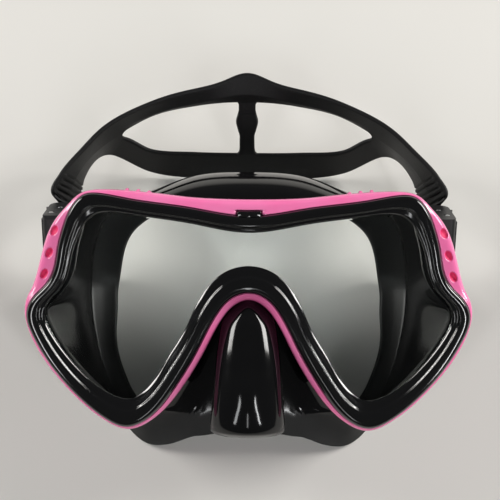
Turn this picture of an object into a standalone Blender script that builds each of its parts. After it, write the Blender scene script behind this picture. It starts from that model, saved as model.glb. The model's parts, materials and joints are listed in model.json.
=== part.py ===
"""Diving mask with one lens, lying lens up on a table with its strap standing behind it.

Lengths are in metres. In the mask frame x runs across the face, y runs from the lens
towards the face and z runs up the face. A buckle frame starts at its swivel pin, with u
along the strap and w across it. The table frame has +Z up.
"""
import math

import bmesh
import bpy
import numpy as np
from mathutils import Matrix, Vector

# Front of the mask
FRAME_WIDTH = 0.170
FRAME_HEIGHT = 0.0914
FRAME_BACK_PLATE = 0.0037
FRAME_LIP_SETBACK = 0.0026
BEZEL_WALL = 0.0010
BEZEL_EDGE = 0.0016
LENS_SETBACK = 0.0032
LENS_THICKNESS = 0.0040
LENS_BEVEL = 0.0004
LATCH_HALF = 0.0044
LATCH_RISE = 0.0019
DIMPLE_RADIUS = 0.0016
DIMPLE_LENGTH = 0.0028

# Silicone skirt
SKIRT_DEPTH = 0.082
SKIRT_WALL = 0.0022
SKIRT_LIP = 0.0014
BEAD_LIP = 0.0010
BEAD_WALL = 0.0012
BEAD_BACK = 0.0015
BEAD_COVER = 0.0009
REST_FLAT = 0.0006

# Strap
STRAP_WIDTH = 0.020
STRAP_THICKNESS = 0.0020
STRAP_TAIL = 0.022
STRAP_LEAD = 0.004
BRIDGE_HALF = 0.0045

# Swivel buckle, the same on both sides
SWIVEL_DEPTH = 0.026
SWIVEL_HEIGHT = 0.0185
SWIVEL_ANGLE = math.radians(14.0)
PIN_RADIUS = 0.0020
PIN_HEAD = 0.0010
LUG_PLACE = 0.0746
LUG_THICKNESS = 0.0024
LUG_RADIUS = 0.0075
WASHER = 0.0007
ARM_THICKNESS = 0.0024
ARM_HALF = 0.0052
YOKE_START = 0.0120
YOKE_LENGTH = 0.0215
YOKE_WALL = 0.0024
ROLLER_RADIUS = 0.0022
ROLLER_PLACE = 0.0265
AXLE_RADIUS = 0.0010
LEVER_PLACE = 0.0185
LEVER_HUB = 0.0026
LEVER_PLATE = 0.0016
LEVER_LENGTH = 0.0190
SPRING_WIRE = 0.0004
SPRING_TURNS = 3
SPRING_WIDTH = 0.0042

# Clearances
GAP = 0.0003
SIDE_GAP = 0.0005

# Number of points round each ring, and how much closer they stand over the nose arch
AROUND = 72
ARCH_CLOSER = 1.6

# Outlines of the right half, in millimetres on a frame of the size above, from the
# middle of the brow round the side to the middle of the nose arch
MM = 0.001
WIDE = FRAME_WIDTH / 170.0
TALL = FRAME_HEIGHT / 91.4
DEEP = SKIRT_DEPTH / 82.0

BEZEL = [
    (0.0, 35.7), (22.7, 38.8), (45.3, 41.9), (55.5, 43.7), (61.9, 43.3), (66.4, 39.1),
    (69.6, 31.6), (71.8, 23.3), (73.4, 14.9), (76.7, 9.2), (81.3, 4.4), (83.6, -1.1),
    (81.1, -10.4), (72.9, -23.5), (63.1, -34.3), (54.4, -41.3), (46.0, -44.6),
    (38.3, -41.7), (28.3, -30.4), (19.1, -15.0), (11.8, -1.1), (6.5, 4.7), (0.0, 6.8),
]
APERTURE = [
    (0.0, 29.5), (21.5, 32.7), (42.3, 35.7), (52.4, 36.8), (58.0, 35.8), (61.6, 32.6),
    (64.3, 27.4), (66.3, 21.5), (68.1, 13.7), (70.9, 7.8), (75.0, 3.2), (76.8, -1.3),
    (74.6, -8.4), (66.8, -19.6), (57.7, -28.5), (50.1, -32.9), (43.6, -33.5),
    (37.5, -29.6), (30.1, -18.8), (23.2, -7.3), (15.2, 5.0), (8.3, 13.2), (0.0, 16.8),
]
FRAME = [
    (0.0, 41.9), (20.8, 42.5), (38.5, 44.4), (53.4, 45.4), (62.7, 44.4), (68.0, 39.9),
    (72.9, 33.3), (76.3, 25.1), (78.9, 14.9), (81.3, 8.4), (84.0, 4.2), (85.0, -0.8),
    (82.5, -10.8), (74.1, -24.4), (64.2, -35.3), (55.2, -42.4), (45.7, -46.2),
    (37.2, -43.0), (26.6, -32.2), (16.8, -16.3), (9.9, -3.3), (5.3, 1.7), (0.0, 3.7),
]
RIM = [
    (0.0, 46.0, 52.6), (23.0, 47.0, 51.0), (43.0, 50.0, 44.0), (54.0, 54.5, 40.5),
    (61.0, 59.5, 36.5), (65.5, 64.0, 31.5), (69.0, 69.0, 24.5), (71.5, 73.0, 16.5),
    (72.7, 76.0, 9.0), (73.0, 76.3, 3.0), (72.5, 74.5, -3.0), (71.5, 71.5, -9.5),
    (69.5, 67.5, -18.5), (65.5, 61.5, -31.0), (59.5, 56.0, -43.5), (52.0, 50.5, -55.0),
    (42.0, 45.5, -63.5), (36.0, 42.8, -63.7), (29.5, 40.0, -61.9), (23.0, 37.8, -59.2),
    (16.5, 36.0, -56.9), (9.0, 34.5, -55.4), (0.0, 34.0, -55.0),
]
SEAL = [
    (0.0, 52.0, 41.0), (20.0, 53.0, 40.0), (36.0, 56.5, 36.0), (44.0, 60.5, 33.0),
    (49.5, 65.0, 29.0), (53.0, 69.0, 25.0), (56.0, 74.0, 19.0), (58.0, 78.5, 12.0),
    (59.3, 81.3, 5.5), (60.0, 81.0, 0.5), (60.0, 78.8, -4.0), (59.5, 75.5, -9.5),
    (58.0, 71.0, -16.5), (54.5, 65.0, -26.5), (49.5, 59.5, -36.0), (43.0, 54.5, -45.5),
    (35.0, 49.5, -53.5), (30.5, 47.3, -55.0), (25.5, 45.0, -54.2), (20.0, 42.3, -52.0),
    (14.5, 40.0, -50.2), (8.0, 38.4, -48.8), (0.0, 37.6, -48.2),
]

# Dimples in each ear, and ribs on each half of the top edge
EAR_DIMPLES = [(74.6, 29.5), (76.4, 21.2), (78.3, 13.0)]
TOP_RIBS = [38.0, 42.2, 46.4]

# How the skirt leaves the frame: 1 domes outwards first, -1 runs backwards first
FLARE = [1, 1, 0.9, 0.6, 0.3, 0, 0, 0, 0, 0, 0, 0, 0, -0.1, -0.3, -0.6, -0.8, -1, -1, -1, -1, -1, -1]
FLARE_STEPS = [0.0, 0.2, 0.35, 0.47, 0.58, 0.68, 0.77, 0.85, 0.905, 0.95, 1.0]

# Nose pocket: height, depth of its ridge and half of its width, from the bottom up
POCKET_HEIGHT = [-49.5, -48.6, -47.5, -46.0, -43.0, -38.0, -30.0, -20.0, -12.0, -5.0, 0.0, 3.0, 4.5]
POCKET_RIDGE = [60.0, 22.0, 9.0, -3.0, -8.0, -8.5, -6.5, -3.0, 0.5, 5.0, 11.0, 18.0, 60.0]
POCKET_HALF = [14.0, 14.0, 14.1, 14.2, 14.2, 13.9, 13.0, 11.5, 10.0, 8.4, 7.2, 6.4, 6.0]

# Strap edges on the table from the buckle to the middle of the back, in millimetres:
# across from the middle, back from the swivel pin, up from the table
STRAP_LOWER = [
    (75.5, 29.2, 25.0), (75.0, 41.2, 25.5), (74.6, 55.2, 21.5), (63.5, 71.7, 12.8),
    (46.0, 68.7, 3.8), (25.0, 66.7, 2.2), (0.0, 66.3, 1.8),
]
STRAP_SPLIT_LOWER = [
    (59.3, 73.6, 28.5), (46.0, 71.6, 19.5), (25.0, 71.1, 17.0), (0.0, 70.7, 16.2),
]
STRAP_SPLIT_UPPER = [
    (59.3, 73.6, 28.5), (45.0, 80.1, 33.5), (24.0, 85.6, 34.5), (0.0, 88.1, 34.2),
]
STRAP_UPPER = [
    (83.0, 39.2, 44.0), (80.4, 48.2, 45.5), (70.5, 62.2, 45.8), (57.0, 75.1, 47.0),
    (40.8, 83.6, 45.5), (20.5, 91.6, 43.5), (0.0, 98.1, 41.5),
]
SPLIT_FROM = len(STRAP_LOWER) - len(STRAP_SPLIT_LOWER) + 1

PINK = (0.95, 0.22, 0.45, 1.0)
BLACK = (0.012, 0.012, 0.013, 1.0)
SILICONE = (0.02, 0.02, 0.021, 1.0)
GLASS = (0.85, 0.92, 0.92, 1.0)
STEEL = (0.6, 0.6, 0.6, 1.0)
NYLON = (0.03, 0.03, 0.032, 1.0)


# Curves and surfaces

def both_halves(half):
    """Points of the right half, then the left half as its mirror, as one closed outline."""
    right = [list(point) for point in half]
    left = [[-point[0]] + list(point[1:]) for point in reversed(half[1:-1])]
    return np.array(right + left)


def closed_spline(points, knots, at):
    """Smooth closed curve through points, at the places given along the knots."""
    count = len(points)
    step = np.diff(knots)
    system = np.zeros((count, count))
    pull = np.zeros_like(points)
    for i in range(count):
        after = (i + 1) % count
        system[i, i - 1] += step[i - 1]
        system[i, i] += 2 * (step[i - 1] + step[i])
        system[i, after] += step[i]
        ahead = (points[after] - points[i]) / step[i]
        behind = (points[i] - points[i - 1]) / step[i - 1]
        pull[i] = 6 * (ahead - behind)
    bend = np.linalg.solve(system, pull)
    span = np.clip(np.searchsorted(knots, at, side="right") - 1, 0, count - 1)
    after = (span + 1) % count
    length = step[span][:, None]
    a = (knots[span + 1] - at)[:, None] / length
    b = 1 - a
    curve = a * points[span] + b * points[after]
    return curve + ((a**3 - a) * bend[span] + (b**3 - b) * bend[after]) * length**2 / 6


def open_curve(points, at):
    """Catmull-Rom curve through points, at places counted in points from the first."""
    points = np.array(points)
    last = len(points) - 1
    at = np.asarray(at, float)
    span = np.clip(at.astype(int), 0, last - 1)
    t = (at - span)[:, None]
    p0 = points[np.clip(span - 1, 0, last)]
    p1 = points[span]
    p2 = points[span + 1]
    p3 = points[np.clip(span + 2, 0, last)]
    cubic = (-p0 + 3 * p1 - 3 * p2 + p3) * t**3
    square = (2 * p0 - 5 * p1 + 4 * p2 - p3) * t**2
    return 0.5 * (cubic + square + (p2 - p0) * t + 2 * p1)


def outline_places():
    """Knots of the outlines by the length of the bezel edge, and the places to sample."""
    edge = both_halves(BEZEL) * (WIDE, TALL)
    chords = np.linalg.norm(np.roll(edge, -1, axis=0) - edge, axis=1)
    knots = np.concatenate([[0.0], np.cumsum(chords)])
    middle = len(edge) // 2
    spans = np.arange(len(edge)) + 0.5
    share = np.where(np.abs(spans - middle) < 4, ARCH_CLOSER, 1.0)
    count = np.concatenate([[0.0], np.cumsum(share)])
    return knots, np.interp(np.arange(AROUND) * count[-1] / AROUND, count, knots)


KNOTS, PLACES = outline_places()


def outline(half, scale):
    """Sampled closed outline from the points of its right half."""
    return closed_spline(both_halves(half) * scale, KNOTS, PLACES)


def outward(curve):
    """Unit normals of a flat closed curve, pointing out of it."""
    along = np.roll(curve, -1, axis=0) - np.roll(curve, 1, axis=0)
    normal = np.stack([-along[:, 1], along[:, 0]], axis=1)
    return normal / np.linalg.norm(normal, axis=1, keepdims=True)


def at_depth(flat, depth):
    """Flat outline in the mask frame at one depth behind the front."""
    return np.stack([flat[:, 0], np.full(len(flat), depth), flat[:, 1]], axis=1)


BEZEL_LINE = outline(BEZEL, (WIDE, TALL))
BEZEL_OUT = outward(BEZEL_LINE)
APERTURE_LINE = outline(APERTURE, (WIDE, TALL))
FRAME_LINE = outline(FRAME, (WIDE, TALL))


def ring(distance, depth):
    """Bezel edge moved in by a distance, at one depth."""
    return at_depth(BEZEL_LINE - distance * BEZEL_OUT, depth)


def between(start, end, share):
    """Flat curve part of the way from one curve to another."""
    return start + share * (end - start)


# Stack of the rim: depths behind the crown of the bezel, then distances in from its edge
lens_back = LENS_SETBACK + LENS_THICKNESS
lip_back = LENS_SETBACK - GAP
lip_front = lip_back - BEAD_LIP
plate_back = lip_front - GAP
bead_floor = lens_back + GAP
bead_back = bead_floor + BEAD_BACK
flange_front = bead_back + GAP
flange_back = flange_front + FRAME_BACK_PLATE

bead_out = BEZEL_WALL + GAP
groove_out = bead_out + BEAD_WALL
lens_edge = groove_out + GAP
lip_in = lens_edge + BEAD_COVER
rib_out = lip_in + GAP
flange_in = lip_in - GAP
neck_out = flange_in + GAP
neck_in = neck_out + SKIRT_WALL


# Objects

def clear_scene():
    for item in list(bpy.data.objects):
        bpy.data.objects.remove(item, do_unlink=True)


def material(name, color, roughness, metallic=0.0, transmission=0.0):
    made = bpy.data.materials.new(name)
    made.use_nodes = True
    shader = made.node_tree.nodes["Principled BSDF"]
    shader.inputs["Base Color"].default_value = color
    shader.inputs["Roughness"].default_value = roughness
    shader.inputs["Metallic"].default_value = metallic
    shader.inputs["Transmission Weight"].default_value = transmission
    return made


def solid(name, points, faces, place, look=None):
    """One closed mesh object with its faces outwards. Without a look it is a hidden helper."""
    mesh = bpy.data.meshes.new(name)
    mesh.from_pydata([tuple(point) for point in points], [], faces)
    work = bmesh.new()
    work.from_mesh(mesh)
    bmesh.ops.remove_doubles(work, verts=work.verts, dist=1e-7)
    bmesh.ops.triangulate(work, faces=[face for face in work.faces if len(face.verts) > 4])
    bmesh.ops.recalc_face_normals(work, faces=work.faces)
    work.to_mesh(mesh)
    work.free()
    made = bpy.data.objects.new(name, mesh)
    bpy.context.scene.collection.objects.link(made)
    made.parent = ROOT
    made.matrix_local = place
    if look is None:
        made.hide_render = True
        made.display_type = "WIRE"
    else:
        made.data.materials.append(material(name, *look))
    return made


def combine(target, helper, operation):
    """Join a helper solid to an object, or cut it away."""
    change = target.modifiers.new(operation.lower(), "BOOLEAN")
    change.operation = operation
    change.solver = "EXACT"
    change.object = helper


def torus_faces(loops, around):
    """Quads of a surface that closes both along its loops and round them."""
    faces = []
    for i in range(loops):
        for j in range(around):
            k = (j + 1) % around
            below = i * around
            above = (i + 1) % loops * around
            faces.append((below + j, below + k, above + k, above + j))
    return faces


def capped_faces(loops, around):
    """Quads of a surface that closes round its loops, with a flat cap at each end."""
    faces = torus_faces(loops, around)[: (loops - 1) * around]
    faces.append(tuple(range(around - 1, -1, -1)))
    faces.append(tuple(range((loops - 1) * around, loops * around)))
    return faces


def merge(pieces):
    """Several (points, faces) pieces as one list of points and faces."""
    points = []
    faces = []
    for some_points, some_faces in pieces:
        start = len(points)
        points.extend([tuple(point) for point in some_points])
        faces.extend([tuple(start + i for i in face) for face in some_faces])
    return points, faces


def box(low, high):
    """Box between two corners."""
    points = [(x, y, z) for x in (low[0], high[0]) for y in (low[1], high[1]) for z in (low[2], high[2])]
    faces = [(0, 1, 3, 2), (4, 6, 7, 5), (0, 4, 5, 1), (2, 3, 7, 6), (0, 2, 6, 4), (1, 5, 7, 3)]
    return points, faces


def prism(profile, place_a, place_b, low, high, along):
    """Flat profile in two axes, drawn out along the third from low to high."""
    loops = []
    for level in (low, high):
        loop = np.zeros((len(profile), 3))
        loop[:, place_a] = [point[0] for point in profile]
        loop[:, place_b] = [point[1] for point in profile]
        loop[:, along] = level
        loops.append(loop)
    return np.concatenate(loops), capped_faces(2, len(profile))


def turned(profile, sides, axis, center):
    """Closed (along, radius) profile turned round an axis through a centre."""
    others = [i for i in range(3) if i != axis]
    angle = np.arange(sides) * 2 * math.pi / sides
    loops = []
    for along, radius in profile:
        loop = np.zeros((sides, 3))
        loop[:, others[0]] = center[others[0]] + radius * np.cos(angle)
        loop[:, others[1]] = center[others[1]] + radius * np.sin(angle)
        loop[:, axis] = along
        loops.append(loop)
    return np.concatenate(loops)


def tube(low, high, outer, inner, sides, axis, center):
    """Round tube between two levels of an axis."""
    profile = [(low, outer), (high, outer), (high, inner), (low, inner)]
    return turned(profile, sides, axis, center), torus_faces(4, sides)


def rod(profile, sides, axis, center):
    """Solid turned piece with flat ends."""
    return turned(profile, sides, axis, center), capped_faces(len(profile), sides)


def mirrored(points, side):
    """Points of the right side, or of the left side as their mirror."""
    return [(side * point[0], point[1], point[2]) for point in points]


# Skirt shape

def pocket(points, wall):
    """Skirt points pressed forwards where the nose pocket stands, with a wall taken off it."""
    x, y, z = points[..., 0], points[..., 1], points[..., 2]
    heights = np.array(POCKET_HEIGHT) * TALL
    ridges = np.array(POCKET_RIDGE) * MM
    ridge = np.interp(z, heights, ridges)
    if wall > 0:
        lower = np.interp(z - wall, heights, ridges)
        upper = np.interp(z + wall, heights, ridges)
        ridge = np.maximum(np.maximum(lower, upper), ridge + wall)
    half = np.interp(z, heights, np.array(POCKET_HALF) * WIDE) - wall
    share = np.clip(np.abs(x) / half, 0, 1)
    forward = np.clip(y - ridge, 0, None) * np.sqrt(1 - share**4)
    moved = points.copy()
    moved[..., 1] = y - forward
    return moved


def skirt_surfaces():
    """Outer and inner loops of the skirt from behind the frame to the edge of its seal."""
    neck = ring(neck_out, flange_back + SKIRT_LIP)
    rim = outline(RIM, (WIDE, DEEP, TALL))
    seal = outline(SEAL, (WIDE, DEEP, TALL))
    flare = closed_spline(both_halves([(0.0, k) for k in FLARE])[:, 1:], KNOTS, PLACES)
    flare = np.clip(flare, -1, 1)
    outer = []
    for step in FLARE_STEPS:
        fast = math.sin(step * math.pi / 2)
        slow = 1 - math.cos(step * math.pi / 2)
        dome = np.clip(flare, 0, 1)
        back = np.clip(-flare, 0, 1)
        level = (1 - dome - back) * step
        spread = level + dome * fast + back * slow
        depth = level + dome * slow + back * fast
        share = np.concatenate([spread, depth, spread], axis=1)
        outer.append(neck + (rim - neck) * share)
    roll = between(rim, seal, 0.5)
    roll[:, 1] += SKIRT_LIP
    outer = np.array(outer + [roll, seal])
    down = np.gradient(outer, axis=0)
    around = np.roll(outer, -1, axis=1) - np.roll(outer, 1, axis=1)
    normal = np.cross(around, down)
    normal = normal / np.linalg.norm(normal, axis=2, keepdims=True)
    wall = np.full((len(outer), 1, 1), SKIRT_WALL)
    wall[-1] = SKIRT_LIP
    inner = outer - wall * normal
    outer[:-3] = pocket(outer[:-3], 0.0)
    inner[:-3] = pocket(inner[:-3], SKIRT_WALL)
    return outer, inner


SKIRT_OUTER, SKIRT_INNER = skirt_surfaces()


def resting_tilt():
    """Slope of the lens over the table when the skirt rests on its temples and cheeks."""
    points = np.concatenate([SKIRT_OUTER[-3:].reshape(-1, 3), SKIRT_INNER[-3:].reshape(-1, 3)])
    middle = -25 * TALL
    low, high = math.radians(10), math.radians(60)
    for _ in range(50):
        tilt = (low + high) / 2
        height = -points[:, 1] * math.cos(tilt) + points[:, 2] * math.sin(tilt)
        if height[points[:, 2] > middle].min() < height[points[:, 2] < middle].min():
            low = tilt
        else:
            high = tilt
    return tilt, -height.min() - REST_FLAT


TILT, LENS_HEIGHT = resting_tilt()
MASK = Matrix.Translation((0, 0, LENS_HEIGHT)) @ Matrix.Rotation(TILT - math.pi / 2, 4, "X")


def buckle_place():
    """Frame of the buckles, at rest on their lower stops."""
    swivel = Matrix.Translation((0, SWIVEL_DEPTH, SWIVEL_HEIGHT))
    return MASK @ swivel @ Matrix.Rotation(SWIVEL_ANGLE, 4, "X")


clear_scene()
ROOT = bpy.data.objects.new("diving_mask", None)
bpy.context.scene.collection.objects.link(ROOT)

pink_look = (PINK, 0.25)
black_look = (BLACK, 0.2)
silicone_look = (SILICONE, 0.35)
nylon_look = (NYLON, 0.4)
steel_look = (STEEL, 0.3, 1.0)


# Lens, bezel and frame

def build_lens():
    inset = APERTURE_LINE - LENS_BEVEL * outward(APERTURE_LINE)
    loops = [
        at_depth(inset, LENS_SETBACK),
        ring(lens_edge, LENS_SETBACK + LENS_BEVEL),
        ring(lens_edge, lens_back - LENS_BEVEL),
        ring(lens_edge + LENS_BEVEL, lens_back),
    ]
    faces = capped_faces(len(loops), AROUND)
    solid("lens", np.concatenate(loops), faces, MASK, (GLASS, 0.02, 0.0, 1.0))


def build_bezel():
    shoulder = BEZEL_LINE - 1.2 * BEZEL_EDGE * BEZEL_OUT
    loops = [
        ring(0, bead_back),
        ring(0, BEZEL_EDGE),
        ring(BEZEL_EDGE * 0.5, BEZEL_EDGE * 0.2),
        at_depth(shoulder, 0),
        at_depth(between(shoulder, APERTURE_LINE, 0.50), 0.15 * BEZEL_EDGE),
        at_depth(between(shoulder, APERTURE_LINE, 0.60), 0.6 * BEZEL_EDGE),
        at_depth(between(shoulder, APERTURE_LINE, 0.88), 0.9 * BEZEL_EDGE),
        at_depth(APERTURE_LINE, 1.2 * BEZEL_EDGE),
        at_depth(APERTURE_LINE, lip_back),
        ring(rib_out, lip_back),
        ring(rib_out, plate_back),
        ring(BEZEL_WALL, plate_back),
        ring(BEZEL_WALL, bead_back),
    ]
    faces = torus_faces(len(loops), AROUND)
    bezel = solid("bezel", np.concatenate(loops), faces, MASK, black_look)
    top = BEZEL_LINE[0, 1]
    low = (-LATCH_HALF, 0.5 * BEZEL_EDGE, top - 0.5 * BEZEL_WALL)
    high = (LATCH_HALF, bead_floor, top + LATCH_RISE)
    combine(bezel, solid("latch_tab_helper", *box(low, high), MASK), "UNION")


LUG_OUT = LUG_PLACE
LUG_IN = LUG_OUT - LUG_THICKNESS
SWIVEL_BORE = PIN_RADIUS + GAP


def lug(side):
    """Plate behind the ear of the frame with the bore for the swivel pin and a stop peg."""
    count = 24
    angle = np.arange(count) * 2 * math.pi / count
    hole = np.stack([SWIVEL_BORE * np.cos(angle), SWIVEL_BORE * np.sin(angle)], axis=1)
    edge = LUG_RADIUS * np.stack([np.cos(angle), np.sin(angle)], axis=1)
    front = flange_back - FRAME_BACK_PLATE / 2 - SWIVEL_DEPTH
    back_half = edge[:, 0] >= -1e-6
    edge[~back_half, 0] = front
    loops = []
    for level, loop in ((LUG_IN, edge), (LUG_OUT, edge), (LUG_OUT, hole), (LUG_IN, hole)):
        depth = SWIVEL_DEPTH + loop[:, 0]
        height = SWIVEL_HEIGHT + loop[:, 1]
        loops.append(np.stack([np.full(count, side * level), depth, height], axis=1))
    return np.concatenate(loops), torus_faces(4, count)


def stop_peg(side):
    """Peg on the lug that the buckle arm rests on."""
    low = (LUG_OUT - LUG_THICKNESS / 2, 0.2 * LUG_RADIUS, -ARM_HALF - GAP - 0.2 * LUG_RADIUS)
    high = (LUG_OUT + WASHER + ARM_THICKNESS, 0.48 * LUG_RADIUS, -ARM_HALF - GAP)
    points, faces = box(low, high)
    turn = Matrix.Rotation(SWIVEL_ANGLE, 3, "X")
    middle = np.array((0, SWIVEL_DEPTH, SWIVEL_HEIGHT))
    placed = [np.array(turn @ Vector(point)) + middle for point in points]
    return mirrored(placed, side), faces


def build_frame():
    bevel = BEZEL_LINE + GAP * BEZEL_OUT
    back_edge = FRAME_LINE - 2 * GAP * outward(FRAME_LINE)
    loops = [
        ring(-GAP, FRAME_LIP_SETBACK),
        at_depth(between(bevel, FRAME_LINE, 0.5), 1.2 * FRAME_LIP_SETBACK),
        at_depth(FRAME_LINE, 2.3 * FRAME_LIP_SETBACK),
        at_depth(FRAME_LINE, flange_back - FRAME_BACK_PLATE / 3),
        at_depth(back_edge, flange_back),
        ring(flange_in, flange_back),
        ring(flange_in, flange_front),
        ring(-GAP, flange_front),
    ]
    frame = solid("frame", np.concatenate(loops), torus_faces(len(loops), AROUND), MASK, pink_look)
    adds = []
    pegs = []
    cuts = []
    for side in (1, -1):
        adds.append(lug(side))
        pegs.append(stop_peg(side))
        for across in TOP_RIBS:
            top = np.interp(across * WIDE, FRAME_LINE[:5, 0], FRAME_LINE[:5, 1])
            low = (across * WIDE - 2 * GAP, 2.5 * FRAME_LIP_SETBACK, top - 4 * GAP)
            high = (across * WIDE + 2 * GAP, flange_front, top + 3 * GAP)
            points, faces = box(low, high)
            adds.append((mirrored(points, side), faces))
        for across, up in EAR_DIMPLES:
            center = (across * WIDE, 0.55 * FRAME_LIP_SETBACK, up * TALL)
            ball = []
            for share in (-0.95, -0.6, 0.0, 0.6, 0.95):
                radius = DIMPLE_RADIUS * math.sqrt(1 - share**2)
                ball.append((center[1] + share * DIMPLE_LENGTH, radius))
            points, faces = rod(ball, 10, 1, center)
            cuts.append((mirrored(points, side), faces))
    top = BEZEL_LINE[0, 1]
    notch_low = (-LATCH_HALF - GAP, 0.0, top - BEZEL_WALL)
    notch_high = (LATCH_HALF + GAP, bead_floor + GAP, top + LATCH_RISE + GAP)
    cuts.append(box(notch_low, notch_high))
    combine(frame, solid("lug_helper", *merge(adds), MASK), "UNION")
    combine(frame, solid("peg_helper", *merge(pegs), MASK), "UNION")
    combine(frame, solid("dimple_helper", *merge(cuts), MASK), "DIFFERENCE")


def build_skirt():
    depth = flange_back + SKIRT_LIP
    loops = [
        ring(lip_in, lip_front),
        ring(bead_out, lip_front),
        ring(bead_out, bead_back),
        ring(neck_out, bead_back),
        *SKIRT_OUTER,
        *SKIRT_INNER[:0:-1],
        ring(neck_in, depth),
        ring(neck_in, bead_floor),
        ring(groove_out, bead_floor),
        ring(groove_out, lip_back),
        ring(lip_in, lip_back),
    ]
    points = np.concatenate(loops)
    skirt = solid("skirt", points, torus_faces(len(loops), AROUND), MASK, silicone_look)
    down = MASK.to_3x3().inverted() @ Vector((0, 0, -1))
    floor = MASK.inverted() @ Vector((0, 0, 0))
    work = bmesh.new()
    work.from_mesh(skirt.data)
    every = list(work.verts) + list(work.edges) + list(work.faces)
    bmesh.ops.bisect_plane(work, geom=every, plane_co=floor, plane_no=down, clear_outer=True)
    open_edges = [edge for edge in work.edges if edge.is_boundary]
    bmesh.ops.holes_fill(work, edges=open_edges, sides=0)
    bmesh.ops.triangulate(work, faces=[face for face in work.faces if len(face.verts) > 4])
    bmesh.ops.recalc_face_normals(work, faces=work.faces)
    work.to_mesh(skirt.data)
    work.free()


# Buckles: distances across are from the middle of the mask, u and w from the swivel pin

WASHER_IN = LUG_OUT + GAP
ARM_IN = WASHER_IN + WASHER + GAP
ARM_OUT = ARM_IN + ARM_THICKNESS
STRAP_HALF = STRAP_WIDTH / 2
WRAP_RADIUS = ROLLER_RADIUS + GAP + STRAP_THICKNESS / 2
ROLLER_X = ARM_IN + WRAP_RADIUS
TAIL_OUT = ROLLER_X + WRAP_RADIUS + STRAP_THICKNESS / 2
YOKE_INNER = STRAP_HALF + SIDE_GAP
YOKE_OUTER = YOKE_INNER + YOKE_WALL
YOKE_IN = ROLLER_X - WRAP_RADIUS - STRAP_THICKNESS / 2 - GAP
AXLE_BORE = AXLE_RADIUS + GAP
LEVER_IN = TAIL_OUT + GAP
LEVER_OUT = LEVER_IN + LEVER_PLATE
SPRING_RADIUS = AXLE_RADIUS + GAP + SPRING_WIRE
LEVER_X = LEVER_IN - GAP - SPRING_RADIUS - SPRING_WIRE
YOKE_OUT = LEVER_X + LEVER_HUB


def yoke_cheek(low, high):
    """Side plate of the buckle as two plates, each with the bore of one axle."""
    middle = (LEVER_PLACE + ROLLER_PLACE) / 2
    sections = [
        (YOKE_START, middle, LEVER_PLACE, LEVER_X),
        (middle, YOKE_START + YOKE_LENGTH, ROLLER_PLACE, ROLLER_X),
    ]
    count = 16
    angle = (np.arange(count) + 0.5) * 2 * math.pi / count
    plates = []
    for start, stop, u, x in sections:
        reach_x = np.where(np.cos(angle) > 0, YOKE_OUT - x, x - YOKE_IN)
        reach_u = np.where(np.sin(angle) > 0, stop - u, u - start)
        scale = np.minimum(reach_x / np.abs(np.cos(angle)), reach_u / np.abs(np.sin(angle)))
        corner = np.stack([x + scale * np.cos(angle), u + scale * np.sin(angle)], axis=1)
        for cx in (YOKE_IN, YOKE_OUT):
            for cu in (start, stop):
                nearest = np.argmin(np.hypot(corner[:, 0] - cx, corner[:, 1] - cu))
                corner[nearest] = (cx, cu)
        hole = np.stack([x + AXLE_BORE * np.cos(angle), u + AXLE_BORE * np.sin(angle)], axis=1)
        loops = []
        for level, loop in ((low, corner), (high, corner), (high, hole), (low, hole)):
            loops.append(np.stack([loop[:, 0], loop[:, 1], np.full(count, level)], axis=1))
        plates.append((np.concatenate(loops), torus_faces(4, count)))
    return plates


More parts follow.
